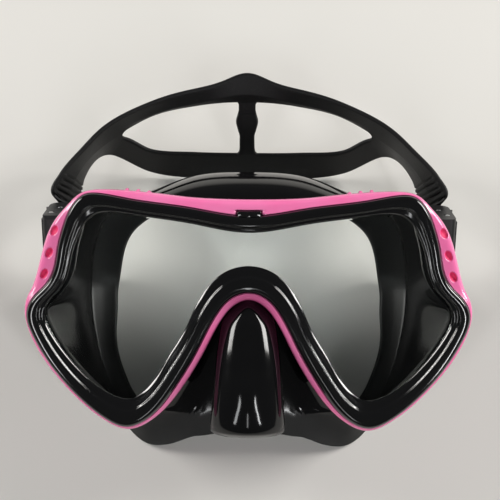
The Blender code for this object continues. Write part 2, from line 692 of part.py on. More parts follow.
def build_buckle(side):
    name = "right" if side > 0 else "left"
    place = buckle_place()
    middle = (0.0, 0.0, 0.0)
    head = 2 * PIN_RADIUS
    pin = [
        (LUG_IN - GAP - PIN_HEAD, head),
        (LUG_IN - GAP, head),
        (LUG_IN - GAP, PIN_RADIUS),
        (ARM_OUT + GAP, PIN_RADIUS),
        (ARM_OUT + GAP, head),
        (ARM_OUT + GAP + PIN_HEAD, head),
    ]
    points, faces = rod(pin, 16, 0, middle)
    solid(name + "_swivel_pin", mirrored(points, side), faces, place, steel_look)
    points, faces = tube(WASHER_IN, WASHER_IN + WASHER, 2.5 * PIN_RADIUS, SWIVEL_BORE, 16, 0, middle)
    solid(name + "_swivel_washer", mirrored(points, side), faces, place, nylon_look)

    count = 20
    angle = np.arange(count) * 2 * math.pi / count
    edge = ARM_HALF * np.stack([np.cos(angle), np.sin(angle)], axis=1)
    ahead = edge[:, 0] > 1e-6
    edge[ahead, 0] = YOKE_START + YOKE_WALL / 2
    hole = SWIVEL_BORE * np.stack([np.cos(angle), np.sin(angle)], axis=1)
    loops = []
    for level, loop in ((ARM_IN, edge), (ARM_OUT, edge), (ARM_OUT, hole), (ARM_IN, hole)):
        loops.append(np.stack([np.full(count, side * level), loop[:, 0], loop[:, 1]], axis=1))
    faces = torus_faces(4, count)
    body = solid(name + "_buckle", np.concatenate(loops), faces, place, black_look)
    web = box((YOKE_IN, YOKE_START, -YOKE_OUTER), (YOKE_OUT, YOKE_START + YOKE_WALL, YOKE_OUTER))
    helper = solid(name + "_web_helper", mirrored(web[0], side), web[1], place)
    combine(body, helper, "UNION")
    for label, low, high in (("upper", YOKE_INNER, YOKE_OUTER), ("lower", -YOKE_OUTER, -YOKE_INNER)):
        for part, (points, faces) in enumerate(yoke_cheek(low, high)):
            helper_name = name + "_" + label + "_cheek_helper_" + str(part)
            combine(body, solid(helper_name, mirrored(points, side), faces, place), "UNION")

    roller = (ROLLER_X, ROLLER_PLACE, 0.0)
    reach = YOKE_INNER - GAP
    points, faces = tube(-reach, reach, ROLLER_RADIUS, AXLE_BORE, 18, 2, roller)
    solid(name + "_roller", mirrored(points, side), faces, place, nylon_look)
    points, faces = rod([(-YOKE_OUTER, AXLE_RADIUS), (YOKE_OUTER, AXLE_RADIUS)], 14, 2, roller)
    solid(name + "_roller_axle", mirrored(points, side), faces, place, steel_look)

    hinge = (LEVER_X, LEVER_PLACE, 0.0)
    points, faces = rod([(-YOKE_OUTER, AXLE_RADIUS), (YOKE_OUTER, AXLE_RADIUS)], 14, 2, hinge)
    solid(name + "_lever_axle", mirrored(points, side), faces, place, steel_look)

    hub_end = reach - SPRING_WIDTH
    points, faces = tube(-reach, hub_end, LEVER_HUB, AXLE_BORE, 16, 2, hinge)
    lever = solid(name + "_release_lever", mirrored(points, side), faces, place, black_look)
    start = LEVER_PLACE - LEVER_HUB / 3
    end = LEVER_PLACE + LEVER_LENGTH
    lift = 0.9 * LEVER_PLATE
    plate = [
        (LEVER_IN, start),
        (LEVER_OUT, start),
        (LEVER_OUT, end - 3 * LEVER_PLATE),
        (LEVER_OUT + lift, end - LEVER_PLATE),
        (LEVER_OUT + lift, end),
        (LEVER_IN + lift, end),
        (LEVER_IN, end - 3 * LEVER_PLATE),
    ]
    points, faces = prism(plate, 0, 1, -reach, reach, 2)
    helper = solid(name + "_lever_plate_helper", mirrored(points, side), faces, place)
    combine(lever, helper, "UNION")

    points, faces = torsion_spring(hub_end + GAP, reach)
    solid(name + "_lever_spring", mirrored(points, side), faces, place, steel_look)


def torsion_spring(low, high):
    """Coil round the lever axle with one leg on the web and one leg under the lever plate."""
    per_turn = 10
    count = SPRING_TURNS * per_turn + 1
    turn = np.linspace(0, SPRING_TURNS * 2 * math.pi, count)
    path = np.zeros((count + 2, 3))
    path[1:-1, 0] = LEVER_X + SPRING_RADIUS * np.cos(turn)
    path[1:-1, 1] = LEVER_PLACE + SPRING_RADIUS * np.sin(turn)
    path[1:-1, 2] = np.linspace(low + SPRING_WIRE, high - SPRING_WIRE, count)
    path[0] = (LEVER_X + SPRING_RADIUS, YOKE_START + YOKE_WALL + GAP + SPRING_WIRE, path[1, 2])
    path[-1] = (LEVER_X + SPRING_RADIUS, LEVER_PLACE + 2.5 * SPRING_RADIUS, path[-2, 2])
    along = np.gradient(path, axis=0)
    along = along / np.linalg.norm(along, axis=1, keepdims=True)
    side = np.cross(along, (0.0, 0.0, 1.0))
    side = side / np.linalg.norm(side, axis=1, keepdims=True)
    up = np.cross(side, along)
    loops = []
    for i in range(len(path)):
        loop = []
        for k in range(6):
            angle = k * math.pi / 3
            loop.append(path[i] + SPRING_WIRE * (math.cos(angle) * side[i] + math.sin(angle) * up[i]))
        loops.append(loop)
    return np.array(loops).reshape(-1, 3), capped_faces(len(path), 6)


# Strap: rows across it are its lower edge, lower band, split and upper band, upper edge

def strap_wrap():
    """Tail, turn round the roller and start of the strap, as (across, u) in a buckle frame."""
    tail = ROLLER_X + WRAP_RADIUS
    line = [(tail, ROLLER_PLACE + STRAP_TAIL), (tail, ROLLER_PLACE + STRAP_TAIL / 2)]
    for step in range(9):
        angle = step * math.pi / 8
        across = ROLLER_X + WRAP_RADIUS * math.cos(angle)
        line.append((across, ROLLER_PLACE - WRAP_RADIUS * math.sin(angle)))
    yoke_end = YOKE_START + YOKE_LENGTH
    line.append((ROLLER_X - WRAP_RADIUS, yoke_end))
    line.append((ROLLER_X - WRAP_RADIUS, yoke_end + STRAP_LEAD))
    return line


def build_strap():
    place = buckle_place()
    pin = place.to_translation()
    stations = []
    for across, u in strap_wrap():
        rows = []
        for w in (-STRAP_HALF, -STRAP_HALF / 2, 0.0, STRAP_HALF / 2, STRAP_HALF):
            rows.append(np.array(place @ Vector((across, u, w))))
        stations.append(rows)
    first = stations[-1]
    scale = np.array((WIDE, MM, MM))
    shift = np.array((0.0, pin.y, 0.0))
    lower = [first[0]] + [np.array(point) * scale + shift for point in STRAP_LOWER]
    upper = [first[4]] + [np.array(point) * scale + shift for point in STRAP_UPPER]
    split_low = [np.array(point) * scale + shift for point in STRAP_SPLIT_LOWER]
    split_high = [np.array(point) * scale + shift for point in STRAP_SPLIT_UPPER]
    for at in np.arange(0.5, SPLIT_FROM, 0.5):
        low = open_curve(lower, [at])[0]
        high = open_curve(upper, [at])[0]
        stations.append([between(low, high, share) for share in (0.0, 0.25, 0.5, 0.75, 1.0)])
    for at in np.arange(SPLIT_FROM, len(STRAP_LOWER), 0.5):
        low = open_curve(lower, [at])[0]
        high = open_curve(upper, [at])[0]
        split_a = open_curve(split_low, [at - SPLIT_FROM])[0]
        split_b = open_curve(split_high, [at - SPLIT_FROM])[0]
        rows = [low, between(low, split_a, 0.5), split_a]
        if at > SPLIT_FROM:
            rows.append(split_b)
        stations.append(rows + [between(split_b, high, 0.5), high])
    bridge = [lower[-1], between(lower[-1], split_low[-1], 0.5), split_low[-1]]
    bridge += [split_high[-1], between(split_high[-1], upper[-1], 0.5), upper[-1]]
    for across in (BRIDGE_HALF, 0.0):
        stations.append([np.array((across, point[1], point[2])) for point in bridge])

    points = []
    names = []
    for rows in stations:
        names.append(list(range(len(points), len(points) + len(rows))))
        points.extend(rows)
    left = {}
    for rows in names[:-1]:
        for i in rows:
            left[i] = len(points)
            points.append(points[i] * np.array((-1.0, 1.0, 1.0)))
    for i in names[-1]:
        left[i] = i
    faces = []
    last = len(names) - 1
    for i in range(last):
        a = names[i]
        b = names[i + 1]
        a = a[:3] + a[2:] if len(a) == 5 and len(b) == 6 else a
        rows = range(len(b) - 1)
        for j in rows:
            if len(b) == 6 and j == 2 and i < last - 1:
                continue
            quad = [a[j], a[j + 1], b[j + 1], b[j]]
            faces.append(tuple(dict.fromkeys(quad)))
            faces.append(tuple(dict.fromkeys(left[k] for k in reversed(quad))))
    origin = np.array((0.0, pin.y, pin.z))
    mesh = bpy.data.meshes.new("strap")
    mesh.from_pydata([tuple(point - origin) for point in points], [], faces)
    strap = bpy.data.objects.new("strap", mesh)
    bpy.context.scene.collection.objects.link(strap)
    strap.parent = ROOT
    strap.location = origin
    strap.data.materials.append(material("strap", SILICONE, 0.6))
    thick = strap.modifiers.new("thickness", "SOLIDIFY")
    thick.thickness = STRAP_THICKNESS
    thick.offset = 0.0
    thick.use_even_offset = True


def stand_on_table():
    """Move the whole part so that the middle of its extent is over the origin."""
    bpy.context.view_layer.update()
    graph = bpy.context.evaluated_depsgraph_get()
    low = np.full(3, np.inf)
    high = np.full(3, -np.inf)
    for item in bpy.data.objects:
        if item.type != "MESH" or item.hide_render:
            continue
        shown = item.evaluated_get(graph)
        mesh = shown.to_mesh()
        flat = np.zeros(len(mesh.vertices) * 3)
        mesh.vertices.foreach_get("co", flat)
        turn = np.array(item.matrix_world)
        world = flat.reshape(-1, 3) @ turn[:3, :3].T + turn[:3, 3]
        low = np.minimum(low, world.min(axis=0))
        high = np.maximum(high, world.max(axis=0))
        shown.to_mesh_clear()
    ROOT.location = (-(low[0] + high[0]) / 2, -(low[1] + high[1]) / 2, -low[2])
    bpy.context.view_layer.update()


build_lens()
build_bezel()
build_frame()
build_skirt()
build_buckle(1)
build_buckle(-1)
build_strap()
stand_on_table()
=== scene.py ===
# %% [markdown]
# # A diving mask lying lens up on a table
# The real mask is a stack of rings: a clear pane sits in the bead of a black silicone skirt,
# a glossy black bezel clamps it from the front, and a pink frame holds the stack together.
# A silicone strap runs from two buckles behind the ears of the frame and splits into two bands.
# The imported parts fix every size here. This file gives them their finished surfaces.

import json
import math

import bmesh
import bpy
import numpy as np
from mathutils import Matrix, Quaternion, Vector

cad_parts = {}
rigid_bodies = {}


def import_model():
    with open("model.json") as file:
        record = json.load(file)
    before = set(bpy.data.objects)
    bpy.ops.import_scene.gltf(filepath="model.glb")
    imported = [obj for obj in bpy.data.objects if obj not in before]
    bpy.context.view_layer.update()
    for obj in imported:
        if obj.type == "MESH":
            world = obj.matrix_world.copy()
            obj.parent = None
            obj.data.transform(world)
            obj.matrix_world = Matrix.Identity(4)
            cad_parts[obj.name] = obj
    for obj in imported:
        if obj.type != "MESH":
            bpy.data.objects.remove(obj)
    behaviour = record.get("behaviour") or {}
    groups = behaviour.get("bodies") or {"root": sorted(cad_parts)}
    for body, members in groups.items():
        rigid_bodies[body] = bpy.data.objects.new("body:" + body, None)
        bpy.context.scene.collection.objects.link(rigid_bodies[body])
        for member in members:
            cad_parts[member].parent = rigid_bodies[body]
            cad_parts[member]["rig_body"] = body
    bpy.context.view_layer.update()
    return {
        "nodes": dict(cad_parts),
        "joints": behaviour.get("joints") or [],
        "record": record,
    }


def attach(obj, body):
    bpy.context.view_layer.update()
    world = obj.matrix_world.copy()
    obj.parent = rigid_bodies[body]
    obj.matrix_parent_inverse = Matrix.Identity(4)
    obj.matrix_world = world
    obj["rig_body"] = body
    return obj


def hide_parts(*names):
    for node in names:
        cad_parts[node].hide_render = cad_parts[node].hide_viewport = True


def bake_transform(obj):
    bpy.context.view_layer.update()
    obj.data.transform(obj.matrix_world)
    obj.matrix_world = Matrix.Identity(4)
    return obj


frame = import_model()

# %% [markdown]
# ## Two frames
# The rings are easiest to draw looking straight at the lens: x across the face, y from the
# lens towards the face, z up the face. On the table the mask leans back, so one turn and one
# shift carry mask points to the table. The flat mount on the lens front holds both numbers.

# %% from the mask to the table
MM = 0.001
mounts = {item["name"]: item for item in frame["record"]["mounts"]}
joints = {item["name"]: item for item in frame["joints"]}
lens_way = np.array(mounts["lens_front"]["axis"])
MASK_AXES = np.array([(1.0, 0.0, 0.0), -lens_way, (0.0, lens_way[2], -lens_way[1])])
LENS_POINT = np.array((30.0, 3.2, 15.0)) * MM
MASK_ORIGIN = np.array(mounts["lens_front"]["pos_m"]) - LENS_POINT @ MASK_AXES
SWIVEL = np.array(joints["strap_swivel"]["pos_m"])


def on_table(points):
    """Mask points in millimetres as table points in metres: turn, then shift."""
    return np.asarray(points) * MM @ MASK_AXES + MASK_ORIGIN


print("lens leans", round(math.degrees(math.acos(lens_way[2])), 1), "degrees, pivot", SWIVEL)

# %% [markdown]
# ## Meshes from grids
# Nearly every piece is a grid of points: rows along a profile and columns round an outline.
# Blender can spin or bevel such shapes by hand, but with numpy the whole grid is one formula,
# so it can be made as fine as the light needs. These helpers turn a grid into faces, merge
# the seams and turn all faces outwards.

# %% grid helpers
def grid_quads(rows, columns, close_rows=False, close_columns=False):
    """Faces of a grid: each cell joins a point to its right, upper right and upper neighbour."""
    i = np.arange(rows if close_rows else rows - 1)[:, None]
    j = np.arange(columns if close_columns else columns - 1)[None, :]
    up = (i + 1) % rows
    side = (j + 1) % columns
    cells = [i * columns + j, i * columns + side, up * columns + side, up * columns + j]
    return np.stack([cell.ravel() for cell in cells], axis=1).tolist()


def tube_faces(rows, columns):
    """Faces of a grid closed round its columns, with one flat face on each end."""
    ends = [list(range(columns)), list(range((rows - 1) * columns, rows * columns))]
    return grid_quads(rows, columns, False, True) + ends


def join(*shells):
    """Several (points, faces) shells as one: the faces of each are counted on from the last."""
    starts = np.cumsum([0] + [len(points) for points, _ in shells]).tolist()
    faces = [[i + first for i in face] for (_, cells), first in zip(shells, starts) for face in cells]
    return np.concatenate([points for points, _ in shells]), faces


def add_object(name, data):
    """New object at the origin of the scene."""
    made = bpy.data.objects.new(name, data)
    bpy.context.scene.collection.objects.link(made)
    return made


def make_piece(name, points, faces, body, node, slot, finish, marks=None, flat=False):
    """One finished mesh at the origin: merged seams, faces outwards, riding on a body."""
    mesh = bpy.data.meshes.new(name)
    mesh.from_pydata(points, [], faces)
    for mark, values in (marks or {}).items():
        mesh.attributes.new(mark, "FLOAT", "POINT").data.foreach_set("value", values)
    work = bmesh.new()
    work.from_mesh(mesh)
    bmesh.ops.remove_doubles(work, verts=work.verts, dist=2e-6)
    bmesh.ops.dissolve_degenerate(work, edges=work.edges, dist=1e-7)
    bmesh.ops.recalc_face_normals(work, faces=work.faces)
    open_edges = sum(1 for edge in work.edges if not edge.is_manifold)
    work.to_mesh(mesh)
    work.free()
    mesh.polygons.foreach_set("use_smooth", np.full(len(mesh.polygons), not flat))
    piece = add_object(name, mesh)
    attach(piece, body)
    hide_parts(node)
    mesh.materials.append(finish)
    print(name, len(mesh.polygons), "faces", open_edges, "open edges")


# %% [markdown]
# ## The outlines
# The lens opening, the bezel edge, the frame edge, the rim of the skirt and its seal are five
# closed curves. Each is listed for one half, from the middle of the brow round the side to
# the middle of the nose arch, and mirrored. A periodic spline makes them smooth, and all five
# share the same knots, so a point of one always faces its partner on the next.

# %% points of the outlines, in millimetres
BEZEL = [
    (0, 35.7), (22.7, 38.8), (45.3, 41.9), (55.5, 43.7), (61.9, 43.3), (66.4, 39.1),
    (69.6, 31.6), (71.8, 23.3), (73.4, 14.9), (76.7, 9.2), (81.3, 4.4), (83.6, -1.1),
    (81.1, -10.4), (72.9, -23.5), (63.1, -34.3), (54.4, -41.3), (46, -44.6),
    (38.3, -41.7), (28.3, -30.4), (19.1, -15), (11.8, -1.1), (6.5, 4.7), (0, 6.8),
]
APERTURE = [
    (0, 29.5), (21.5, 32.7), (42.3, 35.7), (52.4, 36.8), (58, 35.8), (61.6, 32.6),
    (64.3, 27.4), (66.3, 21.5), (68.1, 13.7), (70.9, 7.8), (75, 3.2), (76.8, -1.3),
    (74.6, -8.4), (66.8, -19.6), (57.7, -28.5), (50.1, -32.9), (43.6, -33.5),
    (37.7, -29.1), (30.2, -17.6), (23.3, -5.8), (16.4, 7.8), (9.2, 14.6), (0, 17),
]
FRAME = [
    (0, 41.9), (20.8, 42.5), (38.5, 44.4), (53.4, 45.4), (62.7, 44.4), (68.2, 40),
    (73.6, 33.6), (77.4, 25.3), (80.1, 15), (82.2, 8.4), (84.3, 4.2), (85, -0.8),
    (82.5, -10.8), (74.1, -24.4), (64.2, -35.3), (55.2, -42.4), (45.7, -46.2),
    (37.2, -43), (26.6, -32.2), (16.8, -16.3), (9.9, -3.3), (5.3, 1.7), (0, 3.7),
]
RIM = [
    (0, 46, 52.6), (23, 47, 51), (43, 50, 44), (54, 54.5, 40.5),
    (61, 59.5, 36.5), (65.5, 64, 31.5), (69, 69, 24.5), (71.5, 73, 16.5),
    (72.7, 76, 9), (73, 76.3, 3), (72.5, 74.5, -3), (71.5, 71.5, -9.5),
    (69.5, 67.5, -18.5), (65.5, 61.5, -31), (59.5, 56, -43.5), (51.5, 50.5, -56.5),
    (43, 45.5, -62.6), (36, 42.8, -62.8), (29, 40, -60.6), (22.5, 37.8, -57.9),
    (16.5, 36, -56.9), (9, 34.5, -55.4), (0, 34, -55),
]
SEAL = [
    (0, 52, 41), (20, 53, 40), (36, 56.5, 36), (44, 60.5, 33),
    (49.5, 65, 29), (53, 69, 25), (56, 74, 19), (58, 78.5, 12),
    (59.3, 81.3, 5.5), (60, 81, 0.5), (60, 78.8, -4), (59.5, 75.5, -9.5),
    (59.2, 71, -17), (57.2, 65, -27.6), (52.6, 59.5, -38), (45.4, 54.5, -47.4),
    (35, 49.5, -53.5), (30.5, 47.3, -55), (25.5, 45, -54.2), (20, 42.3, -52),
    (14.5, 40, -50.2), (8, 38.4, -48.8), (0, 37.6, -48.2),
]
FLARE = [1, 1, 0.9, 0.6, 0.3, 0, 0, 0, 0, 0, 0, 0, 0, -0.1, -0.3, -0.6, -0.8, -1, -1, -1, -1, -1, -1]


# %% closed curves
def both_halves(half):
    """Right half, then its mirror image run backwards, as one closed list of points."""
    right = np.array(half, float)
    left = right[-2:0:-1].copy()
    left[:, 0] *= -1
    return np.concatenate([right, left])


edge_points = both_halves(BEZEL)
chords = np.linalg.norm(np.roll(edge_points, -1, axis=0) - edge_points, axis=1)
KNOTS = np.concatenate([[0.0], np.cumsum(chords)])


def closed_spline(points, at):
    """Periodic cubic: a ring of equations gives the bend at each knot, spans blend two ends."""
    step = np.diff(KNOTS)[:, None]
    before = np.roll(step, 1, axis=0)
    ring = np.diag(2 * (before + step)[:, 0])
    ring = ring + np.roll(np.diag(step[:, 0]), 1, axis=1) + np.roll(np.diag(before[:, 0]), -1, axis=1)
    slope = (np.roll(points, -1, axis=0) - points) / step
    bend = np.linalg.solve(ring, 6 * (slope - np.roll(slope, 1, axis=0)))
    span = np.clip(np.searchsorted(KNOTS, at, side="right") - 1, 0, len(points) - 1)
    after = (span + 1) % len(points)
    size = step[span]
    a = (KNOTS[span + 1] - at)[:, None] / size
    b = 1 - a
    line = a * points[span] + b * points[after]
    return line + ((a**3 - a) * bend[span] + (b**3 - b) * bend[after]) * size**2 / 6


def places(count, closer=()):
    """Places along the outlines: equal counts per span, more in the spans named as closer."""
    spans = np.arange(len(edge_points))
    nearest = np.minimum(spans, len(edge_points) - 1 - spans)
    share = np.ones(len(edge_points))
    for first, last, factor in closer:
        share = np.where((nearest >= first) & (nearest < last), factor, share)
    total = np.concatenate([[0.0], np.cumsum(share)])
    return np.interp(np.arange(count) * total[-1] / count, total, KNOTS)


def unit(vectors):
    """Vectors divided by their lengths."""
    return vectors / np.linalg.norm(vectors, axis=-1, keepdims=True)


def outward(line):
    """Unit normals of a flat closed curve: its tangent by central difference, turned a quarter."""
    along = np.roll(line, -1, axis=0) - np.roll(line, 1, axis=0)
    return unit(np.stack([-along[:, 1], along[:, 0]], axis=1))


class Outlines:
    """The flat outlines sampled at one set of places, and loops made from them."""

    def __init__(self, at):
        self.at = at
        self.bezel = closed_spline(both_halves(BEZEL), at)
        self.out = outward(self.bezel)
        self.aperture = closed_spline(both_halves(APERTURE), at)
        self.frame = closed_spline(both_halves(FRAME), at)

    def ring(self, distance, depth):
        """Bezel edge moved in by a distance, at one depth."""
        return self.level(self.bezel - distance * self.out, depth)

    def level(self, flat, depth):
        """Flat curve laid into the mask frame at a depth, or at one depth per point."""
        return np.stack([flat[:, 0], np.broadcast_to(depth, len(flat)), flat[:, 1]], axis=1)


def rounded_profile(loops, radii, steps=5, most=0.45):
    """Closed profile of loops with each corner replaced by a quadratic curve of its radius."""
    corner = np.array(loops)
    reach = np.array(radii, float)[:, None, None]
    share = np.linspace(0, 1, steps)[None, :, None, None]
    ends = []
    for way in (1, -1):
        side = np.roll(corner, way, axis=0) - corner
        length = np.linalg.norm(side, axis=2, keepdims=True)
        ends.append(corner + side / length * np.minimum(reach, most * length))
    start, end = ends[0][:, None], ends[1][:, None]
    curve = (1 - share) ** 2 * start + 2 * share * (1 - share) * corner[:, None] + share**2 * end
    return curve.reshape(-1, corner.shape[1], 3)


def ring_shell(loops):
    """Points and faces of a ring whose profile and outline both close."""
    rows, columns = loops.shape[:2]
    return on_table(loops.reshape(-1, 3)), grid_quads(rows, columns, True, True)


fine = Outlines(places(480, [(17, 22, 1.6)]))
print("bezel edge is", round(float(KNOTS[-1]), 1), "mm long")

# %% [markdown]
# ## Shader maths
# A finish is a small sum: a base colour, plus noise times a little, and so on. Wiring that by
# hand hides the sum, so one class wraps a socket and lets Python's operators add the Math
# nodes. Any other node comes from its one method for nodes.

# %% sockets as numbers
class Wire:
    """A socket of a material. + - * on it add Math nodes, and node() adds any other node."""

    def __init__(self, tree, socket=None):
        self.tree = tree
        self.socket = socket

    def node(self, kind, settings=None, inputs=None, out=0):
        """Add a node: its settings first, then the values or links of its sockets."""
        made = self.tree.nodes.new(kind)
        for key, value in (settings or {}).items():
            setattr(made, key, value)
        for key, value in (inputs or {}).items():
            self.put(made.inputs[key], value)
        return Wire(self.tree, made.outputs[out])

    def put(self, socket, value):
        """Link a wire to a socket, or set the socket's own value."""
        if isinstance(value, Wire):
            self.tree.links.new(value.socket, socket)
        else:
            socket.default_value = value

    def maths(self, operation, first, second):
        """Math node on two values or wires."""
        return self.node("ShaderNodeMath", {"operation": operation}, {0: first, 1: second})

    def __add__(self, other):
        return self.maths("ADD", self, other)

    def __sub__(self, other):
        return self.maths("SUBTRACT", self, other)

    def __rsub__(self, other):
        return self.maths("SUBTRACT", other, self)

    def __mul__(self, other):
        return self.maths("MULTIPLY", self, other)

    __radd__ = __add__
    __rmul__ = __mul__

    def between(self, low, high):
        """0 below low, 1 above high, and a smooth step from one to the other."""
        settings = {"interpolation_type": "SMOOTHSTEP"}
        return self.node("ShaderNodeMapRange", settings, {0: self, 1: low, 2: high})

    def color(self, first, second):
        """Mix of two colours by this value."""
        inputs = {"Factor": self, 6: first, 7: second}
        return self.node("ShaderNodeMix", {"data_type": "RGBA"}, inputs, out=2)


def new_finish(name, **constants):
    """A wire to start the maths of a new Principled material, its coordinates and its painter."""
    made = bpy.data.materials.new(name)
    made.use_nodes = True
    shader = made.node_tree.nodes["Principled BSDF"]
    start = Wire(made.node_tree)

    def paint(**values):
        """Set or link sockets of the shader, named with _ for each blank, and give the material."""
        for key, value in values.items():
            start.put(shader.inputs[key.replace("_", " ")], value)
        return made

    paint(**constants)
    return start, start.node("ShaderNodeTexCoord", out="Object"), paint


def grains(start, where, scale, detail=2.0):
    """Noise over the object, with its scale in grains per metre."""
    inputs = {"Vector": where, "Scale": scale, "Detail": detail}
    return start.node("ShaderNodeTexNoise", None, inputs)


def bump(start, height, distance):
    """Normal from a height: distance is how tall a height of one stands, in metres."""
    return start.node("ShaderNodeBump", None, {"Height": height, "Distance": distance})


def rgb(red, green, blue):
    """A colour written as it looks on screen, 0 to 255, as the linear colour nodes use."""
    screen = np.array((red, green, blue)) / 255
    linear = np.where(screen < 0.04045, screen / 12.92, ((screen + 0.055) / 1.055) ** 2.4)
    return (*linear.tolist(), 1.0)


# %% [markdown]
# ## Plastic finishes
# The frame is pink plastic from a polished mould: an even colour, a clear gloss and the faint
# unevenness of a moulded skin. The small hollows in the ears hold a deeper pink. The bezel is
# black and glossier still, with the fine hairlines that wiping leaves. The buckles come from
# a textured mould, so they are satin. An image could be laid over each, but noise worked out
# from the place of a point has no seam and needs no unwrapping.

# %% pink frame plastic, black bezel plastic and satin buckle plastic
def pink_plastic():
    """Pink made lighter by clouds, mixed to a deep dull pink by the mark of the hollows."""
    start, where, paint = new_finish("pink_plastic", Coat_Roughness=0.06, IOR=1.5)
    clouds = grains(start, where, 55.0, 3.0)
    skin = grains(start, where, 420.0, 2.0)
    hollow = start.node("ShaderNodeAttribute", {"attribute_name": "hollow"}, out="Fac")
    body = clouds.between(0.3, 0.7).color(rgb(255, 120, 180), rgb(255, 134, 190))
    return paint(
        Base_Color=hollow.color(body, rgb(242, 44, 110)),
        Roughness=0.18 + clouds * 0.1 + hollow * 0.35,
        Coat_Weight=(0.5 - skin * 0.25) * (1 - hollow),
        Normal=bump(start, skin, 0.05 * MM),
    )


def black_plastic():
    """Near black, rougher by a little of its clouds and of noise drawn out into hairlines."""
    start, where, paint = new_finish("black_plastic", Coat_Roughness=0.04, IOR=1.5)
    inputs = {"Vector": where, "Rotation": (0.3, 0.2, 0.6), "Scale": (1.0, 14.0, 14.0)}
    drawn = start.node("ShaderNodeMapping", None, inputs)
    hairlines = grains(start, drawn, 130.0, 3.0).between(0.56, 0.72)
    clouds = grains(start, where, 40.0, 2.0)
    return paint(
        Base_Color=clouds.color(rgb(8, 8, 9), rgb(14, 14, 15)),
        Roughness=0.07 + hairlines * 0.02 + clouds * 0.04,
        Coat_Weight=0.35 - hairlines * 0.04,
        Normal=bump(start, clouds, 0.05 * MM),
    )


def buckle_plastic():
    """Dark grey by clouds, with a bump of fine sparks."""
    start, where, paint = new_finish("buckle_plastic", IOR=1.5)
    sparks = grains(start, where, 2600.0, 1.0)
    clouds = grains(start, where, 90.0, 2.0)
    return paint(
        Base_Color=clouds.color(rgb(20, 20, 21), rgb(32, 32, 34)),
        Roughness=0.34 + clouds * 0.16,
        Normal=bump(start, sparks, 0.06 * MM),
    )


PINK = pink_plastic()
BLACK = black_plastic()
SATIN = buckle_plastic()
print("plastics", PINK.name, BLACK.name, SATIN.name)

# %% [markdown]
# ## Silicone, glass and metal finishes
# The skirt is polished silicone, but its seal and its lower cheeks come from a blasted mould
# and look grey and dull. These could be two materials, but a mark stored on each point says
# how dull it is and keeps the change soft. The strap is dull all over and a little dusty. The
# pane is clear tempered glass with a faint green tint, the pins are drawn steel and the rollers
# and washers dark nylon.

# %% polished and dull silicone
def skirt_silicone():
    """Polished and blasted silicone mixed by the dull mark, which adds roughness and grain."""
    start, where, paint = new_finish("skirt_silicone", IOR=1.41)
    dull = start.node("ShaderNodeAttribute", {"attribute_name": "dull"}, out="Fac")
    clouds = grains(start, where, 60.0, 3.0)
    sparks = grains(start, where, 2200.0, 1.0)
    polished = clouds.color(rgb(9, 9, 10), rgb(16, 16, 17))
    blasted = clouds.color(rgb(30, 31, 31), rgb(42, 42, 41))
    return paint(
        Base_Color=dull.color(polished, blasted),
        Roughness=0.06 + clouds * 0.05 + dull * 0.5,
        Normal=bump(start, sparks * dull + clouds * 0.4, 0.06 * MM),
    )


def strap_silicone():
    """Near black by clouds, with a share of grey where the noise of the dust is high."""
    start, where, paint = new_finish("strap_silicone", IOR=1.41, Specular_IOR_Level=0.38)
    clouds = grains(start, where, 70.0, 4.0)
    dust = grains(start, where, 900.0, 2.0).between(0.55, 0.8)
    sparks = grains(start, where, 2600.0, 1.0)
    base = clouds.color(rgb(14, 14, 15), rgb(21, 21, 22))
    return paint(
        Base_Color=(dust * 0.15).color(base, rgb(72, 70, 68)),
        Roughness=0.42 + clouds * 0.15 + dust * 0.1,
        Normal=bump(start, sparks, 0.08 * MM),
    )


def clear_glass():
    """Glass for eyes and mirrors, but open to the light of lamps, so that the table inside is lit."""
    start, where, paint = new_finish(
        "clear_glass", Transmission_Weight=1.0, IOR=1.2, Base_Color=(0.97, 1.0, 0.99, 1.0)
    )
    smears = grains(start, where, 35.0, 3.0)
    made = paint(Roughness=smears.between(0.55, 0.9) * 0.02)
    shader = made.node_tree.nodes["Principled BSDF"]
    lamps = start.node("ShaderNodeLightPath", out="Is Shadow Ray")
    open_air = start.node("ShaderNodeBsdfTransparent", None, {"Color": (0.93, 0.96, 0.95, 1.0)})
    glass = Wire(made.node_tree, shader.outputs[0])
    both = start.node("ShaderNodeMixShader", None, {0: lamps, 1: glass, 2: open_air})
    start.put(made.node_tree.nodes["Material Output"].inputs["Surface"], both)
    return made


def steel():
    """Bright metal, with noise drawn out into lines for its colour and roughness."""
    start, where, paint = new_finish("steel", Metallic=1.0)
    inputs = {"Vector": where, "Scale": (1.0, 30.0, 30.0)}
    drawn = start.node("ShaderNodeMapping", None, inputs)
    lines = grains(start, drawn, 300.0, 2.0)
    return paint(
        Base_Color=lines.color(rgb(165, 166, 168), rgb(205, 206, 207)), Roughness=0.24 + lines * 0.2
    )


def nylon():
    """Dark grey by clouds, which also roughen it."""
    start, where, paint = new_finish("nylon", IOR=1.53)
    clouds = grains(start, where, 300.0, 2.0)
    return paint(Base_Color=clouds.color(rgb(26, 26, 27), rgb(38, 38, 39)), Roughness=0.36 + clouds * 0.12)


SKIN = skirt_silicone()
BAND = strap_silicone()
PANE = clear_glass()
STEEL = steel()
NYLON = nylon()
print("silicones, glass and metal", SKIN.name, BAND.name, PANE.name, STEEL.name, NYLON.name)

# %% [markdown]
# ## Lens
# One flat pane of tempered glass, 4 mm thick, with a ground bevel all round. A filled curve
# with a bevel would do, but the loops share the outlines of the rings that hold it.

# %% flat pane with a bevelled edge, in millimetres
PANE_FRONT, PANE_BACK = 3.2, 7.2
PANE_INSET, GROUND = 2.8, 0.4


